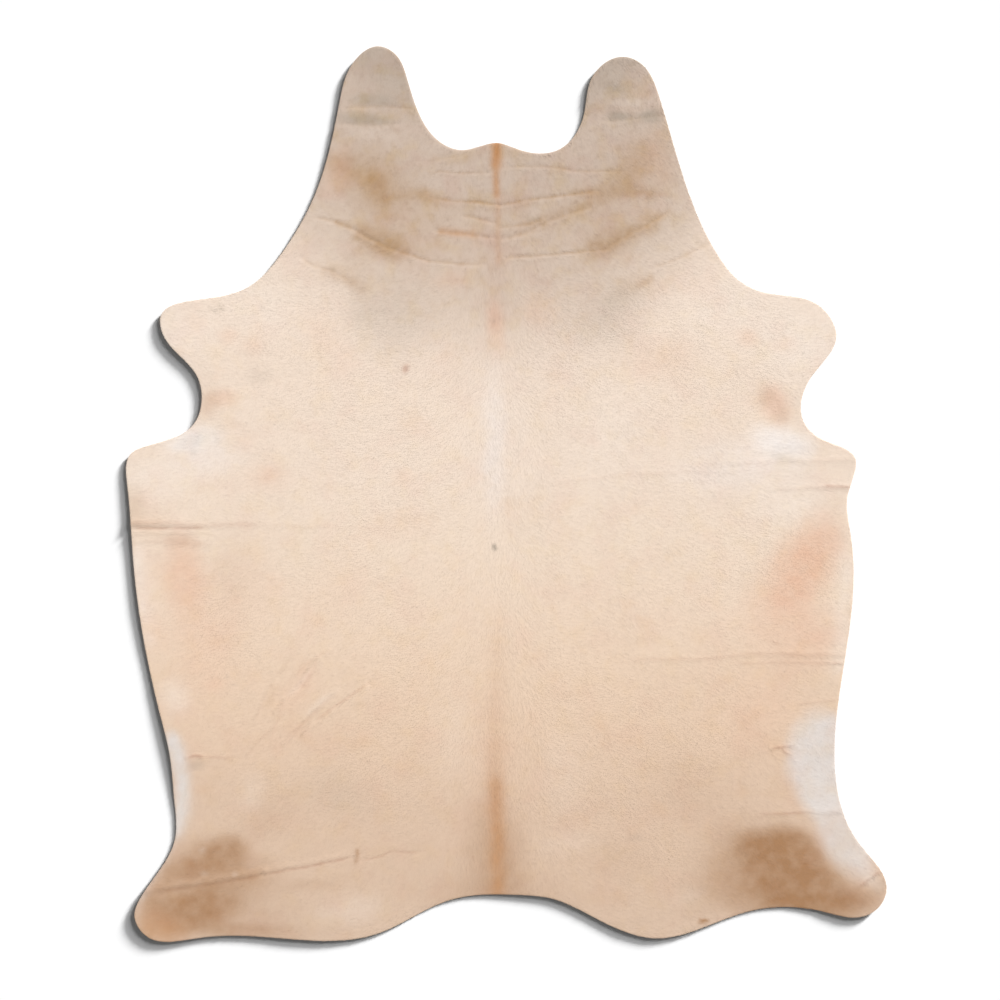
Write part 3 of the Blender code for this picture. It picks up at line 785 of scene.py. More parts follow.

# %% [markdown]
# ## Tones and pigments
# The tones are named for what they are on the hide and are written as a screen shows
# them, from 0 to 255. A renderer works with linear light, so a helper converts them. The
# zones give the coat's plain colour from the rump to the neck. Over it lie a few
# pigments, much as the skin makes them: pale and flushed areas, smoky grey, rose, brown,
# tan, ginger, and a bright and a dull white. A place holds more or less of each. Rose,
# tan and brown also carry painted shade along the creases and wrinkles.

# %% Tones
TONES = {
    "tail end": (216, 189, 166),
    "rump": (218, 190, 166),
    "croup": (221, 193, 169),
    "loin": (228, 200, 175),
    "peach": (233, 207, 183),
    "warm cream": (236, 212, 190),
    "back": (238, 217, 197),
    "cream": (239, 219, 201),
    "withers": (235, 215, 198),
    "shoulder": (217, 197, 180),
    "low neck": (209, 188, 171),
    "neck": (205, 185, 169),
    "cheek": (190, 173, 158),
    "pale": (247, 234, 222),
    "flush": (231, 190, 163),
    "rose": (180, 134, 112),
    "smoke": (158, 147, 132),
    "brown": (172, 130, 94),
    "tan": (177, 140, 99),
    "ginger": (196, 146, 104),
    "white": (226, 216, 209),
    "frost": (245, 237, 234),
}


def linear(tone):
    """A named tone as a linear colour, by the rule that screens follow."""
    share = np.array(TONES[tone]) / 255.0
    return (*np.where(share <= 0.04045, share / 12.92, ((share + 0.055) / 1.055) ** 2.4), 1.0)


print("tones:", len(TONES))

# %% Table of zones
Zone = namedtuple("Zone", "along tone")
ZONES = [
    Zone(-105, "tail end"),
    Zone(-90, "rump"),
    Zone(-75, "croup"),
    Zone(-58, "loin"),
    Zone(-42, "peach"),
    Zone(-29, "warm cream"),
    Zone(-12, "back"),
    Zone(4, "cream"),
    Zone(20, "cream"),
    Zone(31, "withers"),
    Zone(46, "shoulder"),
    Zone(60, "low neck"),
    Zone(74, "neck"),
    Zone(84, "neck"),
    Zone(94, "cheek"),
]
ZONE_REACH = (-1.1, 1.1)
SPINE = -2.2 * CENTIMETRE
BOW = 24.0 * CENTIMETRE
BOW_HALF_WIDTH = 48.0 * CENTIMETRE
DEEPEST_BOW = 32.0 * CENTIMETRE
BOW_STARTS = 40.0 * CENTIMETRE


def zone_of(points):
    """The place along the zones, which bow over the shoulders towards the neck's sides."""
    bow = np.minimum(BOW * ((points[:, 0] - SPINE) / BOW_HALF_WIDTH) ** 2, DEEPEST_BOW)
    start = np.clip(points[:, 1] / BOW_STARTS, 0.0, 1.0)
    return points[:, 1] - bow * eased(start)


print("zones:", len(ZONES))

# %% [markdown]
# ## Patches and streaks
# Each marking is a row under its pigment: a soft oval patch, or a streak along a line.
# Places, radii and widths are in centimetres, turns are in degrees, and the core is the
# share of the radius that has the full amount. Where rows of one pigment overlap, they
# add up the way two layers of thin paint do.

# %% Table of patches
Patch = namedtuple("Patch", "name across along long short turn core amount")
PATCHES = {
    "pale": [
        ("left shoulder", -60, 46, 22, 12, -20, 0, 0.3),
        ("right shoulder", 56, 46, 24, 13, 20, 0, 0.35),
        ("left foreleg", -80, 38, 14, 12, 0, 0.1, 0.4),
        ("right foreleg", 72, 36, 18, 14, 0, 0.1, 0.45),
        ("left elbow", -84, 4, 14, 8, 0, 0.1, 0.4),
        ("right elbow", 66, 10, 14, 9, 0, 0.1, 0.4),
        ("left cheek, pale band", -32, 86.9, 9, 2, 0, 0.2, 0.1),
        ("right cheek, pale band", 30.3, 94.2, 9.6, 1.2, 0, 0.1, 0.14),
        ("neck, pale middle", 9.6, 68.4, 7, 4, 20, 0, 0.1),
        ("left armpit, white", -75.6, 13.2, 11, 5.4, 8, 0.1, 0.78),
        ("right armpit, white", 66.6, 12.8, 12, 6, -14, 0.1, 0.7),
        ("left thigh, upper bald", -73, -85.9, 1.4, 1.4, 0, 0.1, 0.6),
        ("left thigh, lower bald", -72.6, -91.2, 1.5, 1.3, 0, 0.1, 0.7),
        ("left thigh, inner bald", -65.2, -91.4, 1.3, 1.2, 0, 0.1, 0.55),
        ("rump, pale patch", -37, -100, 13, 6, 10, 0, 0.22),
        ("loin, worn", -44.6, -50.4, 8, 1.8, 42, 0, 0.26),
        ("loin, second worn", -50, -46, 7, 1.4, 46, 0, 0.2),
        ("croup, left pale", -12, -58, 18, 10, 90, 0, 0.13),
        ("croup, right pale", 14, -66, 18, 9, 90, 0, 0.12),
        ("croup, worn", 14, -84, 12, 5, 0, 0, 0.14),
        ("left hip, worn", -62, -72, 8, 5, 70, 0, 0.16),
        ("right rump, worn", 44, -97, 9, 4, 10, 0, 0.16),
        ("back, right pale", 26, 14, 22, 16, 70, 0, 0.22),
        ("right elbow, lower pale", 68, -2, 15, 9, 16, 0, 0.4),
        ("left belly, pale", -80, -49.6, 8, 6, 90, 0, 0.42),
    ],
    "flush": [
        ("left flank", -77.4, -20, 14, 8, 100, 0.1, 0.62),
        ("left flank, low", -72.5, -35, 22, 13, 95, 0, 0.34),
        ("left side, peach", -62, -22, 22, 12, 90, 0, 0.14),
        ("left edge, peach", -85, -33, 8, 5, 100, 0, 0.34),
        ("left elbow, peach", -58, 4, 10, 6, 0, 0, 0.2),
        ("left back, peach", -26, -8, 14, 6, 0, 0, 0.15),
        ("right flank", 72.6, -16.4, 18, 10.5, 64, 0.15, 0.85),
        ("right flank, inward", 65.4, -24, 20, 10, 64, 0, 0.56),
        ("right flank, low", 72, -34, 14, 12, 80, 0, 0.54),
        ("right belly", 62, -50, 22, 16, 60, 0, 0.3),
        ("right foreleg, pink spot", 58, 37.6, 3.8, 3.6, 0, 0, 0.36),
        ("right foreleg, pink side", 67, 36, 6, 4, 0, 0, 0.2),
        ("right shoulder, peach", 37, 32, 14, 9, 10, 0, 0.24),
        ("right back, peach", 36, 16, 12, 9, 60, 0, 0.05),
        ("left shoulder, peach", -44, 38, 12, 6, -50, 0, 0.18),
        ("left neck, edge", -41, 78, 10, 5, 70, 0, 0.3),
        ("left foreleg, upper spot", -67, 38, 4, 3.4, 0, 0.1, 0.26),
        ("left foreleg, lower spot", -61, 35.6, 4, 4.4, 0, 0.1, 0.2),
        ("left elbow, spot", -67, 23, 5, 4, 0, 0.1, 0.4),
        ("left flank, spot", -58, 5, 3.4, 3, 0, 0.1, 0.2),
        ("back, yellow spot", -25.6, 4, 4, 3, 0, 0, 0.25),
        ("withers, orange", -2.6, 41, 10, 3.6, 90, 0, 0.6),
        ("withers, right pink", 8, 44, 7, 6, 0, 0, 0.28),
        ("withers, left pink", -13, 52, 7, 4, 20, 0, 0.2),
        ("right elbow, round it", 64.6, 21.6, 6.6, 6, 100, 0.2, 0.48),
        ("croup", -2.4, -68, 26, 12, 90, 0, 0.14),
        ("loin, ruffled", -51, -48, 10, 6, 48, 0, 0.24),
        ("left loin, peach spot", -70.4, -45.6, 4, 3.2, 0, 0, 0.34),
        ("back, left yellow", -40, -22, 16, 9, 60, 0, 0.12),
    ],
    "smoke": [
        ("left withers, grey", -28, 42, 16, 13, -30, 0, 0.2),
        ("right withers, grey", 24, 42, 14, 11, 30, 0, 0.19),
        ("left brisket", -59.6, 28.6, 5, 4, 0, 0, 0.14),
        ("left cheek, upper band", -31.8, 95, 9, 2.2, -2, 0.2, 0.38),
        ("left cheek, lower band", -34, 90.6, 10, 2.6, 0, 0.2, 0.5),
        ("right cheek, upper", 25.4, 97.7, 5, 3, 0, 0, 0.25),
        ("right cheek, middle", 27.1, 90.9, 4.2, 2, 0, 0.2, 0.5),
        ("right cheek, outer", 35.1, 91.2, 4.6, 2.4, 10, 0.2, 0.55),
        ("right cheek, between", 31, 90, 9, 3, 0, 0.1, 0.18),
        ("right withers, inner grey", 27, 46.6, 7, 4.6, 30, 0, 0.12),
        ("left withers, outer grey", -35, 43, 7, 6, -30, 0, 0.12),
        ("right armpit, smear", 66.6, 8.6, 5, 1.4, -14, 0.1, 0.28),
        ("left flank, shade", -74.6, -65.2, 4.4, 2.4, 0, 0.1, 0.28),
        ("right flank, grey in it", 78.4, -63, 6, 2.4, 86, 0, 0.14),
        ("right thigh, spot", 64.4, -83, 4, 1.8, 0, 0.1, 0.3),
        ("right thigh, outer streak", 80.2, -97, 3.8, 1.2, 90, 0.1, 0.4),
        ("rump, grey", 31, -82.8, 3.4, 1.6, 0, 0, 0.18),
        ("left hip, grey", -40, -72, 14, 9, -20, 0, 0.12),
        ("back, grey spot", -2.9, -12.8, 1.2, 0.7, -60, 0.3, 0.9),
        ("belly, upper dot", -67.4, -44, 0.7, 0.5, 20, 0.2, 0.45),
        ("belly, lower dot", -65.3, -46, 0.5, 0.5, 0, 0.2, 0.35),
        ("shoulder, dark dot", -2.9, 41.9, 0.6, 0.8, 0, 0.2, 0.55),
    ],
    "rose": [
        ("left shoulder, red spot", -24.2, 30.2, 1.7, 1.2, 80, 0.2, 0.6),
        ("flank, pink dot", 44.2, -63, 0.7, 0.6, 0, 0.2, 0.35),
        ("flank, dark dot", 64.9, -35.9, 0.6, 0.5, 0, 0.2, 0.45),
        ("rump, dark dot", -8, -87.1, 0.6, 0.5, 0, 0.2, 0.5),
    ],
    "brown": [
        ("left side, brownish", -66, -20, 18, 10, 90, 0, 0.1),
        # Painted shade along the left flank crease.
        ("left flank, crease", -78.6, -11.4, 7, 3, -6, 0, 0.2),
        ("right elbow, upper", 62.4, 23, 3.6, 3.4, 0, 0.15, 0.2),
        ("right elbow, lower", 66.4, 19.4, 2.8, 2.6, 20, 0.15, 0.17),
        ("right hip", 44, -70, 20, 14, -30, 0, 0.12),
        ("right thigh, cloud", 66, -93, 26, 17, -24, 0.15, 0.84),
        ("right thigh, core", 64, -84, 12, 6.4, 2, 0.25, 0.88),
        ("right thigh, outer", 72.6, -87.6, 9, 6, -52, 0.1, 0.5),
        ("right thigh, low core", 72, -94.6, 16, 10, -34, 0.3, 0.74),
        ("right shank", 83.6, -98, 9, 5.4, 6, 0.1, 0.62),
        ("right shank, toe", 90, -94, 5, 4, 60, 0, 0.34),
        ("right thigh, inner", 50, -96, 14, 8, 10, 0, 0.25),
        ("left thigh, inner", -62, -91.6, 14, 6.4, 0, 0, 0.3),
        ("left shank, edge along", -66, -105, 26, 3.6, -2, 0.1, 0.5),
        ("left thigh, cloud", -74, -93.6, 22, 14, 4, 0.1, 0.58),
        ("left thigh, core", -68.4, -86.4, 9.4, 6, 4, 0.25, 0.66),
        ("left thigh, outer core", -75.4, -90.2, 8, 3.4, 10, 0.2, 0.5),
        ("left shank", -75, -99.6, 17, 6.4, 10, 0.2, 0.73),
        ("left shank, low", -75, -103.6, 12, 4, 0, 0.1, 0.36),
        ("left shank, edge", -83.6, -96.6, 9, 5, 56, 0, 0.34),
        ("left shank, inner", -60, -101, 18, 6, 4, 0, 0.16),
        ("tail", -2.4, -88, 22, 11, 90, 0, 0.36),
        ("tail, low", -2, -97, 24, 9, 0, 0, 0.26),
        ("tail, left haze", -6.4, -84, 19, 7, 92, 0, 0.16),
        ("tail, right haze", 1, -88, 14, 6, 90, 0, 0.22),
        # Painted shade: below the left rump crease, and beside the loin creases in the three rows after it.
        ("left rump, under the crease", -48, -94.6, 18, 2.6, 10, 0, 0.18),
        ("loin, shade", -46, -52.6, 7, 1.2, 42, 0, 0.14),
        ("loin, second shade", -53.4, -41.6, 5, 1, 50, 0, 0.13),
        ("loin, third shade", -57, -50, 5, 1.2, 60, 0, 0.12),
        ("left loin, brownish", -58, -78, 14, 8, 30, 0, 0.14),
        ("right hip, brownish", 28, -88, 14, 7, -10, 0, 0.1),
        ("rump, edge mark", 47.4, -102.8, 2, 0.8, 15, 0.3, 0.9),
    ],
    "tan": [
        ("left neck, haze", -26, 67, 18, 12, -24, 0, 0.2),
        ("right neck, haze", 23, 69, 19, 11, 24, 0, 0.11),
        ("left withers, haze", -36, 54, 10, 6, -36, 0, 0.14),
        ("left edge, upper tan", -89, -3, 8, 4, 90, 0, 0.24),
        ("left neck, cloud", -32, 76.2, 14.4, 10.6, -32, 0, 0.47),
        ("left neck, core", -31, 75, 6.2, 4.6, -45, 0.1, 0.4),
        ("left neck, low core", -30, 71.8, 6, 3.6, -10, 0, 0.46),
        ("left neck, arm", -20.4, 71.4, 8.4, 2.6, -6, 0.1, 0.42),
        ("left neck, upper edge", -39.4, 79.6, 7, 5, 0, 0, 0.26),
        ("right neck, cloud", 29.4, 78.4, 11.4, 6.2, 50, 0, 0.4),
        ("right neck, core", 33, 78.4, 4, 3, 40, 0, 0.16),
        ("right neck, below", 24, 71, 10, 3, 12, 0, 0.26),
        ("left shoulder, cloud", -29.6, 60.8, 10.6, 5.4, -26, 0.1, 0.44),
        ("left shoulder, far cloud", -37, 50.6, 7, 2.4, -30, 0, 0.16),
        ("right shoulder, cloud", 26, 61.4, 10.6, 5.4, 24, 0.1, 0.38),
        ("right shoulder, far smudge", 30, 49.6, 8, 4, 36, 0, 0.22),
    ],
    "ginger": [
        ("left flank, upper edge", -86, -7, 8, 6, 0, 0, 0.2),
        ("right cheek, edge", 36.6, 80.4, 11, 5, 100, 0, 0.24),
        ("right neck, golden", 32, 79, 9, 7, 70, 0, 0.14),
        ("left elbow, tan", -70.9, 21.9, 5.4, 4.6, 60, 0, 0.32),
        ("left shank, toe", -84, -104.6, 12, 6.4, -10, 0.1, 0.62),
    ],
    "frost": [
        ("back, pale stripe", -3, 12, 27, 4.4, 90, 0.15, 0.3),
        ("right armpit, frost", 66.6, 12.8, 11, 5.6, -14, 0, 0.56),
        ("left armpit, frost", -75.6, 13.4, 10, 4.6, 8, 0.1, 0.36),
        ("back, middle pale", -2, 14, 24, 14, 90, 0, 0.1),
        ("right elbow, inner pale", 56, 6.6, 22, 10, 4, 0, 0.36),
        ("left elbow, inner pale", -72, 9, 14, 7, 0, 0, 0.34),
    ],
    "white": [
        ("left armpit, bluish", -75.6, 12.6, 6, 3, 10, 0.1, 0.56),
        ("right armpit, bluish", 68.4, 10.6, 7, 2.4, -8, 0, 0.26),
        ("left flank, white", -80, -62, 7, 3, 100, 0.3, 0.6),
        ("right flank, white", 76.4, -64.6, 15.4, 10.2, 92, 0.6, 0.92),
        ("right flank, lower white", 81.4, -82, 15, 7.6, -62, 0.4, 0.74),
    ],
}
print("patches:", sum(len(rows) for rows in PATCHES.values()))

# %% Table of streaks
Streak = namedtuple("Streak", "name half_width amount points")
STREAKS = {
    "pale": [
        ("right shank, pale strip", 2, 0.45, [(84, -86), (87.6, -91.6), (90.6, -95.6)]),
        ("left flank, pale edge", 2.4, 0.5, [(-89.6, -11), (-88.6, -22), (-87, -30), (-84.8, -38)]),
        ("right flank, pale edge", 2.4, 0.34, [(82.2, -11), (81.8, -22), (80.6, -34), (80, -46)]),
        ("left shank, pale toe", 1.4, 0.18, [(-88.4, -98.6), (-88.8, -103), (-86, -106)]),
    ],
    "smoke": [
        ("left shoulder, dots", 0.5, 0.28, [(-42.4, 54), (-40.9, 54)]),
        ("right neck, dark mark", 0.5, 0.35, [(4.8, 65.9), (8.6, 66.4)]),
        ("left foreleg, scratch", 0.25, 0.6, [(-71.3, 45.6), (-69.8, 43.4)]),
        ("left foreleg, second scratch", 0.25, 0.55, [(-69.4, 45.8), (-68.4, 43.8)]),
        ("left armpit, scratch", 0.3, 0.35, [(-70.2, 14.8), (-69.6, 13)]),
        ("left armpit, smear", 0.5, 0.3, [(-76.2, 10.4), (-73.8, 9.9)]),
    ],
    "rose": [
        ("spine, shoulder", 2.8, 0.17, [(-2, 64), (-2.5, 52), (-2.6, 38)]),
        ("right neck, pink edge", 0.6, 0.22, [(27, 71.4), (33, 72.4), (40, 71.8)]),
    ],
    "brown": [
        ("rump, brown mark", 0.5, 0.75, [(-36, -85), (-35.8, -87), (-36.2, -89)]),
    ],
    "tan": [
        ("left shoulder, thick", 2.6, 0.52, [(-37.4, 63.8), (-33.7, 61.6), (-29.4, 59.9), (-23, 57.6)]),
        ("left shoulder, upper", 0.7, 0.34, [(-41.6, 65.8), (-39, 65), (-36.7, 63.6)]),
        ("left shoulder, smudge", 1.8, 0.24, [(-45, 54.4), (-38, 51.6), (-33, 47.6)]),
        ("right neck, brown band", 1.7, 0.4,
            [(15, 72), (20.9, 72.9), (24, 73.6), (30.2, 73.4), (37.5, 72.4)]),
        ("neck, middle band", 1.7, 0.17, [(-21, 70.4), (-10, 69), (2, 69.4), (14, 71)]),
        ("neck, upper left band", 0.9, 0.16, [(-16, 79.6), (-10, 80.4), (-3.4, 83.4)]),
        ("right neck, tan band", 1.7, 0.34,
            [(1.3, 64.7), (6.6, 65), (11.7, 67.2), (17.9, 68.7), (24.4, 70.7)]),
        ("right shoulder, thick", 2.3, 0.46,
            [(18, 59), (24, 59.8), (27.7, 61.6), (32, 63.8), (37.3, 66.4)]),
        ("right shoulder, tip", 0.7, 0.34, [(35, 65.2), (37.6, 66.8), (40, 68.8)]),
        ("right shoulder, smudge", 0.8, 0.26, [(31.2, 49.3), (33.6, 51), (35.5, 52.8)]),
    ],
    "ginger": [
        ("spine, top", 1.3, 0.96, [(-2.3, 88), (-2.3, 81), (-2.3, 77.6)]),
        ("spine, neck", 0.9, 0.7, [(-2.3, 82), (-2.4, 76), (-2.2, 71)]),
        ("spine, low neck", 0.8, 0.28, [(-2.3, 75), (-2, 66), (-2, 54)]),
        ("spine, loin", 2.6, 0.13, [(-2.2, -30), (-2.5, -45), (-2.7, -60), (-2.7, -72)]),
        ("spine, croup", 2.2, 0.16, [(-2.7, -60), (-2.5, -72), (-2.2, -96)]),
        ("spine, tail", 1.9, 0.68, [(-2.6, -66), (-2.2, -80), (-2, -90), (-2, -100)]),
        ("left neck, golden", 1, 0.5, [(-16.8, 63.4), (-12, 62.7), (-7, 62.2)]),
    ],
    "white": [
        ("left belly, white strip", 2, 0.95,
            [(-81.2, -56), (-79.2, -62), (-77.8, -69), (-78.2, -76.5), (-80.6, -84)]),
        ("left shank, white strip", 1.5, 0.62, [(-79.6, -80), (-83, -87.4), (-87.6, -94.6), (-90, -99)]),
    ],
}
print("streaks:", sum(len(rows) for rows in STREAKS.values()))

# %% Amount of each pigment
WANDERS = [(9.0 * CENTIMETRE, 1.3 * CENTIMETRE), (2.2 * CENTIMETRE, 0.28 * CENTIMETRE)]
STREAK_END = 0.12
STREAK_GAPS = 1.7 * CENTIMETRE
STREAK_END_LEAST = 0.1
STREAK_LAYER = 6.0
STREAK_MEAN, STREAK_SWING = 0.9, 0.75
EVEN_PIGMENTS = ("pale", "ginger", "frost", "white")
SMALL_MARK = 1.6
Line = namedtuple("Line", "pigment half_width amount points")

lines = [Line(pigment, *row[1:]) for pigment, rows in STREAKS.items() for row in rows]
# The creases and wrinkles also paint shade along their lines: rose along the creases, tan along the
# wrinkles.
for pigment, creases in (("rose", CREASES), ("tan", WRINKLES)):
    lines += [Line(pigment, crease.stain_width, crease.stain, crease.points) for crease in creases]


def pigment_amounts(points):
    """For each point, its place along the zones and how much of each pigment it holds."""
    loose, close = points, wandered(points, CREASE_WANDER_SIZE, CREASE_WANDER)
    for size, amount in WANDERS:
        loose = wandered(loose, size, amount)
    bare = {pigment: np.ones(len(points)) for pigment in PATCHES}
    for pigment, rows in PATCHES.items():
        for patch in (Patch(*row) for row in rows):
            places = points if patch.short < SMALL_MARK else loose
            offset = places / CENTIMETRE - (patch.across, patch.along)
            turn = np.radians(patch.turn)
            ahead = offset @ (np.cos(turn), np.sin(turn)) / patch.long
            aside = offset @ (-np.sin(turn), np.cos(turn)) / patch.short
            fade = np.clip((1.0 - np.hypot(ahead, aside)) / (1.0 - patch.core), 0.0, 1.0)
            bare[pigment] *= 1.0 - patch.amount * eased(fade)
    swing = STREAK_SWING * smooth_noise(points, STREAK_GAPS, STREAK_LAYER)
    broken = np.clip(STREAK_MEAN + swing, 0.0, 1.0)
    for line in lines:
        gap, progress = along_line(close, crease_line(line))
        ends = np.clip(np.minimum(progress, 1.0 - progress) / STREAK_END, STREAK_END_LEAST, 1.0)
        shown = 1.0 if line.pigment in EVEN_PIGMENTS else broken
        near = np.exp(-((gap / (line.half_width * CENTIMETRE)) ** 2))
        bare[line.pigment] *= 1.0 - line.amount * shown * ends * near
    return zone_of(loose), {pigment: 1.0 - left for pigment, left in bare.items()}


def paint(mesh, points):
    """Puts the amounts on a mesh, where the materials read them by name."""
    zone, amounts = pigment_amounts(points)
    number_on(mesh, "zone", zone)
    for pigment, amount in amounts.items():
        number_on(mesh, pigment, amount)


for piece in [sheet, *hair]:
    places = np.empty(len(piece.data.vertices) * 3, dtype=np.float32)
    piece.data.vertices.foreach_get("co", places)
    paint(piece.data, places.reshape(-1, 3)[:, :2].astype(float))
print("pigments:", len(PATCHES), "and lines:", len(lines))

# %% [markdown]
# ## The coat's colour
# The sheet and the hair have to agree about the colour at every place, so one group
# turns the zone and the pigments into it, and both materials use it. A second, small
# group lays one pigment over a colour. It breaks the pigment up a little with noise,
# because a coat is dappled where two colours of hair mix.

# %% Group: pigment
NOISE_RANGE = (0.3, 0.7)
DAPPLE = (0.84, 1.16)

inputs = [("Colour", "Color", None), ("Pigment", "Color", None), ("Amount", "Float", 0.0)]
inputs.append(("Dapple", "Float", 0.5))
pigment_group, given, made = new_group("pigment", inputs, [("Colour", "Color")])
broken = put_range(pigment_group, given["Dapple"], NOISE_RANGE, DAPPLE)
share = put_math(pigment_group, "MULTIPLY", given["Amount"], broken, use_clamp=True)
laid = blended(pigment_group, "MIX", share, given["Colour"], given["Pigment"])
pigment_group.links.new(laid, made["Colour"])
arrange(pigment_group)
print("group:", pigment_group.name)

# %% Group: coat colour
DAPPLE_SCALE, DAPPLE_DETAIL = 30.0, 5.0
CLOUD_DETAIL = 3.0
CLOUD_RANGE = (0.45, 0.75)
Cloud = namedtuple("Cloud", "name scale tone amount more_on_neck")
CLOUDS = [
    Cloud("pink clouds", 11.0, (0.93, 0.80, 0.78, 1.0), 0.24, 0.20),
    Cloud("yellow clouds", 19.0, (0.97, 0.91, 0.74, 1.0), 0.22, 0.40),
    Cloud("small shades", 75.0, (0.90, 0.87, 0.84, 1.0), 0.20, 0.45),
    Cloud("neck shades", 34.0, (0.88, 0.82, 0.76, 1.0), 0.06, 0.28),
]
NECK_RANGE = (0.28, 0.62)
WHOLE = (0.0, 1.0)

coat_colour, given, made = new_group("coat colour", [("Position", "Vector", None)], [("Colour", "Color")])
low, high = ZONE_REACH
zone = amount_on(coat_colour, "zone")
level = put_range(coat_colour, zone, ZONE_REACH, WHOLE)
ramp_node = put(coat_colour, "ValToRGB", {}, {"Fac": level}, "zones")
ramp = ramp_node.color_ramp
for number, zone_row in enumerate(ZONES):
    stop = (zone_row.along * CENTIMETRE - low) / (high - low)
    spot = ramp.elements[0] if number == 0 else ramp.elements.new(stop)
    spot.position = stop
    spot.color = linear(zone_row.tone)
ramp.elements.remove(ramp.elements[-1])

dapple = put_noise(coat_colour, given["Position"], DAPPLE_SCALE, DAPPLE_DETAIL, "dapple")
colour = ramp_node.outputs["Color"]
for pigment in PATCHES:
    amount = amount_on(coat_colour, pigment)
    inputs = {"Colour": colour, "Pigment": linear(pigment), "Amount": amount, "Dapple": dapple}
    colour = put_group(coat_colour, pigment_group, inputs, pigment).outputs["Colour"]

neck = put_range(coat_colour, zone, NECK_RANGE, WHOLE, "SMOOTHSTEP", "neck")
for cloud in CLOUDS:
    vapour = put_noise(coat_colour, given["Position"], cloud.scale, CLOUD_DETAIL, cloud.name)
    most = put_math(coat_colour, "MULTIPLY_ADD", neck, cloud.more_on_neck, cloud.amount)
    amount = put_range(coat_colour, vapour, CLOUD_RANGE, (0.0, most), "SMOOTHSTEP")
    colour = blended(coat_colour, "MULTIPLY", amount, colour, cloud.tone)
coat_colour.links.new(colour, made["Colour"])
arrange(coat_colour)
print("group:", coat_colour.name, "with", len(coat_colour.nodes), "nodes")

# %% [markdown]
# ## Nap and grain
# Close up, both the skin under the hair and the suede of the flesh side are fibrous. One
# group makes such a fibre pattern at any size: noise that is stretched one way, with finer
# noise mixed in. It gives a height for a Bump node and the colour made lighter or darker.

# %% Group: fibre
FIBRE_DETAIL, FIBRE_ROUGHNESS = 4.0, 0.6

inputs = [("Position", "Vector", None), ("Stretch", "Vector", (1.0, 1.0, 1.0))]
inputs += [("Size", "Float", 100.0), ("Colour", "Color", None), ("Contrast", "Float", 0.1)]
fibre, given, made = new_group("fibre", inputs, [("Colour", "Color"), ("Height", "Float")])
drawn = put(fibre, "VectorMath", {"operation": "MULTIPLY"}, {0: given["Position"], 1: given["Stretch"]})
threads = put_noise(fibre, drawn.outputs[0], given["Size"], FIBRE_DETAIL, Roughness=FIBRE_ROUGHNESS)
least = put_math(fibre, "SUBTRACT", 1.0, given["Contrast"])
most = put_math(fibre, "ADD", 1.0, given["Contrast"])
tint = put_range(fibre, threads, NOISE_RANGE, (least, most))
fibre.links.new(with_value(fibre, given["Colour"], tint), made["Colour"])
fibre.links.new(threads, made["Height"])
arrange(fibre)
print("group:", fibre.name)

# %% [markdown]
# ## Materials
# There are four finishes: the hair, the skin that shows between the locks, the bare cut
# edge and the suede of the flesh side. Short dry hair scatters light softly and has only
# a faint gloss, so roughness is high everywhere and there is a little sheen on the coat.

# %% Hair and skin
Grain = namedtuple("Grain", "size stretch contrast strength depth")
HAIR_FINISH = {"Roughness": 0.62, "Specular IOR Level": 0.25, "Sheen Weight": 0.08}
SKIN_FINISH = {"Roughness": 0.85, "Specular IOR Level": 0.2}
SKIN_GRAIN = Grain(320.0, (0.5, 1.0, 1.0), 0.02, 0.15, 0.3 * MILLIMETRE)


def new_material(name, finish):
    """A material with its shader set to the given finish."""
    material = bpy.data.materials.new(name)
    material.use_nodes = True
    tree = material.node_tree
    shader = tree.nodes["Principled BSDF"]
    for socket, value in finish.items():
        shader.inputs[socket].default_value = value
    return material, tree, shader


def coat_of(tree):
    """The place on the hide, and the coat's colour there."""
    place = put(tree, "TexCoord", {}, {}).outputs["Object"]
    return place, put_group(tree, coat_colour, {"Position": place}).outputs["Colour"]


def add_grain(tree, shader, place, colour, grain):
    """Gives the shader a fibrous relief, and returns the colour with the fibres in it."""
    inputs = {"Position": place, "Stretch": grain.stretch, "Size": grain.size}
    inputs |= {"Colour": colour, "Contrast": grain.contrast}
    fibres = put_group(tree, fibre, inputs).outputs
    inputs = {"Height": fibres["Height"], "Strength": grain.strength, "Distance": grain.depth}
    bump = put(tree, "Bump", {}, inputs)
    tree.links.new(bump.outputs["Normal"], shader.inputs["Normal"])
    return fibres["Colour"]


hair_material, tree, shader = new_material("short hair", HAIR_FINISH)
colour = coat_of(tree)[1]
# Each lock's random tone, with its painted root shade and painted tip light.
shaded = with_value(tree, colour, amount_on(tree, "lock_tone_and_painted_shade"))
tree.links.new(shaded, shader.inputs["Base Color"])
arrange(tree)

skin_material, tree, shader = new_material("skin under the hair", SKIN_FINISH)
grainy = add_grain(tree, shader, *coat_of(tree), SKIN_GRAIN)
tree.links.new(grainy, shader.inputs["Base Color"])
arrange(tree)
print("materials:", hair_material.name, "and", skin_material.name)

# %% Cut edge and flesh side
TONES["raw leather"] = (226, 210, 190)
TONES["suede"] = (216, 198, 176)
LEATHER_FINISH = {"Roughness": 0.92, "Specular IOR Level": 0.15}
CUT_GRAIN = Grain(900.0, (1.0, 1.0, 3.0), 0.10, 0.5, 0.2 * MILLIMETRE)
SUEDE_GRAIN = Grain(260.0, (1.0, 1.0, 1.0), 0.07, 0.5, 0.6 * MILLIMETRE)
LEATHER_CLOUDS = (0.93, 1.05)
LEATHER_CLOUD_SCALE, LEATHER_CLOUD_DETAIL = 6.0, 4.0


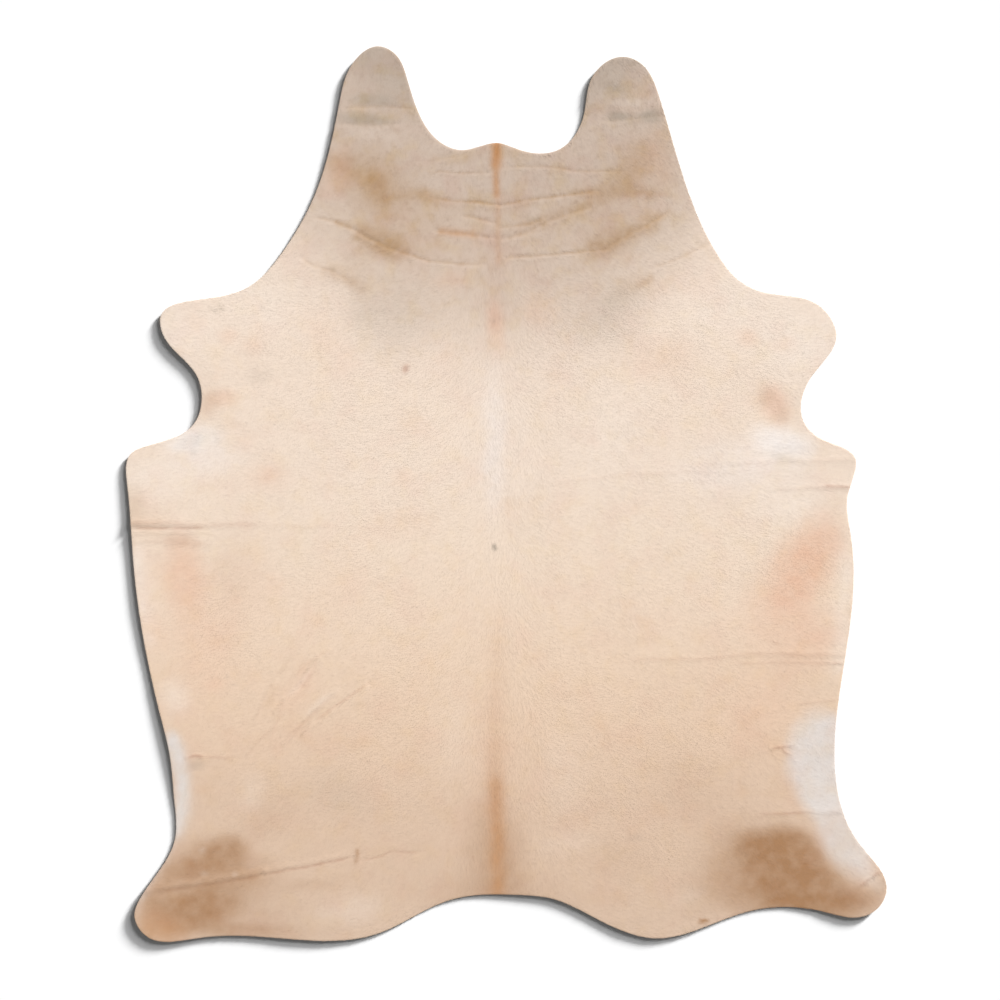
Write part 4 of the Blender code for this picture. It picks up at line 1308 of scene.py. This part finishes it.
def leather_material(name, tone, grain):
    """Bare leather: a plain tone with a fibrous surface."""
    material, tree, shader = new_material(name, LEATHER_FINISH)
    place = put(tree, "TexCoord", {}, {}).outputs["Object"]
    grainy = add_grain(tree, shader, place, linear(tone), grain)
    clouds = put_noise(tree, place, LEATHER_CLOUD_SCALE, LEATHER_CLOUD_DETAIL)
    cloudy = with_value(tree, grainy, put_range(tree, clouds, NOISE_RANGE, LEATHER_CLOUDS))
    tree.links.new(cloudy, shader.inputs["Base Color"])
    arrange(tree)
    return material


cut_material = leather_material("cut edge", "raw leather", CUT_GRAIN)
flesh_material = leather_material("suede flesh side", "suede", SUEDE_GRAIN)
for material in (skin_material, cut_material, flesh_material):
    sheet.data.materials.append(material)
for piece in hair:
    piece.data.materials.append(hair_material)
print("materials:", cut_material.name, "and", flesh_material.name)

# %% [markdown]
# ## Stand in for the solid
# The sheet replaces the solid, which stays in the file for collisions. All pieces ride on
# the one body.

# %% Ride and replace
for piece in [sheet, *hair]:
    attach(piece, BODY)
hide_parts(HIDE)

# %% [markdown]
# ## Floor, light and camera
# The rug lies on a plain white floor. Its shadow is dark and close to the lower left
# edges and fades out evenly, as from low lamps, while the coat itself is lit softly, as
# from a wide panel. One lamp can't do both, so light linking gives the floor two lamps
# of its own. An even white surrounding fills in a little, and shows as plain white.

# %% Floor
FLOOR_HALF = 14.0
FLOOR_HEIGHT = -0.0002
FLOOR_WHITE = (0.93, 0.93, 0.93, 1.0)
FLOOR_FINISH = {"Base Color": FLOOR_WHITE, "Roughness": 1.0, "Specular IOR Level": 0.0}

sides = (-FLOOR_HALF, FLOOR_HALF)
floor_corners = np.array([(across, along, FLOOR_HEIGHT) for along in sides for across in sides])
floor_faces = np.array([(0, 1, 3), (0, 3, 2)])
floor = mesh_object("floor", floor_corners, floor_faces)
floor.data.materials.append(new_material("white floor", FLOOR_FINISH)[0])
floor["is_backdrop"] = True
print("floor at", FLOOR_HEIGHT, "m")

# %% Lamps
Lamp = namedtuple("Lamp", "name towards elevation width strength")
LOW_LAMP = Lamp("low lamp for the floor", (1.0, 1.0), 9.6, 6.6, 12.95)
HIGHER_LAMP = Lamp("higher lamp for the floor", (1.0, 1.0), 20.0, 20.0, 2.6)
COAT_LAMP = Lamp("wide panel for the coat", (1.0, 1.0), 52.0, 80.0, 3.86)
WHITE = (1.0, 1.0, 1.0, 1.0)
FILL_STRENGTH, SEEN_STRENGTH = 0.12, 1.0


def add_lamp(lamp, lit):
    """A lamp far away, which lights only the given objects."""
    light = bpy.data.lights.new(lamp.name, "SUN")
    light.energy = lamp.strength
    light.angle = np.radians(lamp.width)
    made = bpy.data.objects.new(lamp.name, light)
    rise = np.tan(np.radians(lamp.elevation)) * np.hypot(*lamp.towards)
    made.rotation_euler = Vector((*lamp.towards, rise)).to_track_quat("Z", "Y").to_euler()
    bpy.context.scene.collection.objects.link(made)
    receivers = bpy.data.collections.new(lamp.name)
    for thing in lit:
        receivers.objects.link(thing)
    made.light_linking.receiver_collection = receivers


add_lamp(LOW_LAMP, [floor])
add_lamp(HIGHER_LAMP, [floor])
add_lamp(COAT_LAMP, [sheet, *hair])

surrounding = bpy.data.worlds.new("surrounding")
surrounding.use_nodes = True
tree = surrounding.node_tree
tree.nodes.clear()
fill = put(tree, "Background", {}, {"Color": WHITE, "Strength": FILL_STRENGTH}, "fill")
seen = put(tree, "Background", {}, {"Color": WHITE, "Strength": SEEN_STRENGTH}, "seen")
by_camera = put(tree, "LightPath", {}, {}).outputs["Is Camera Ray"]
inputs = {0: by_camera, 1: fill.outputs[0], 2: seen.outputs[0]}
chosen = put(tree, "MixShader", {}, inputs, "fill or seen")
put(tree, "OutputWorld", {}, {"Surface": chosen.outputs[0]})
arrange(tree)
bpy.context.scene.world = surrounding
bpy.context.scene.view_settings.view_transform = "Standard"
print("lamps:", LOW_LAMP.name, HIGHER_LAMP.name, COAT_LAMP.name)

# %% Camera
CAMERA_MIDDLE = (-0.0150, -0.0144)
CAMERA_HEIGHT = 5.686
CAMERA_LENS = 85.0
FILM_WIDTH = 36.0

camera_data = bpy.data.cameras.new("camera")
camera_data.lens = CAMERA_LENS
camera_data.sensor_width = FILM_WIDTH
camera = bpy.data.objects.new("camera", camera_data)
camera.location = (*CAMERA_MIDDLE, CAMERA_HEIGHT)
bpy.context.scene.collection.objects.link(camera)
bpy.context.scene.camera = camera
print("camera", CAMERA_HEIGHT, "m above the floor")

# %% [markdown]
# ## Sizes
# The dressed rug has to keep the solid's size. Both boxes are measured, and the growth
# from the solid to the dressed rug is printed.

# %% Measure the sizes and finish
dressed_box = [list(corner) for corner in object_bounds()]
growth = [(dressed_box[1][k] - dressed_box[0][k]) - solid_size[k] for k in range(3)]
print("growth, in millimetres:", [round(side / MILLIMETRE, 1) for side in growth])
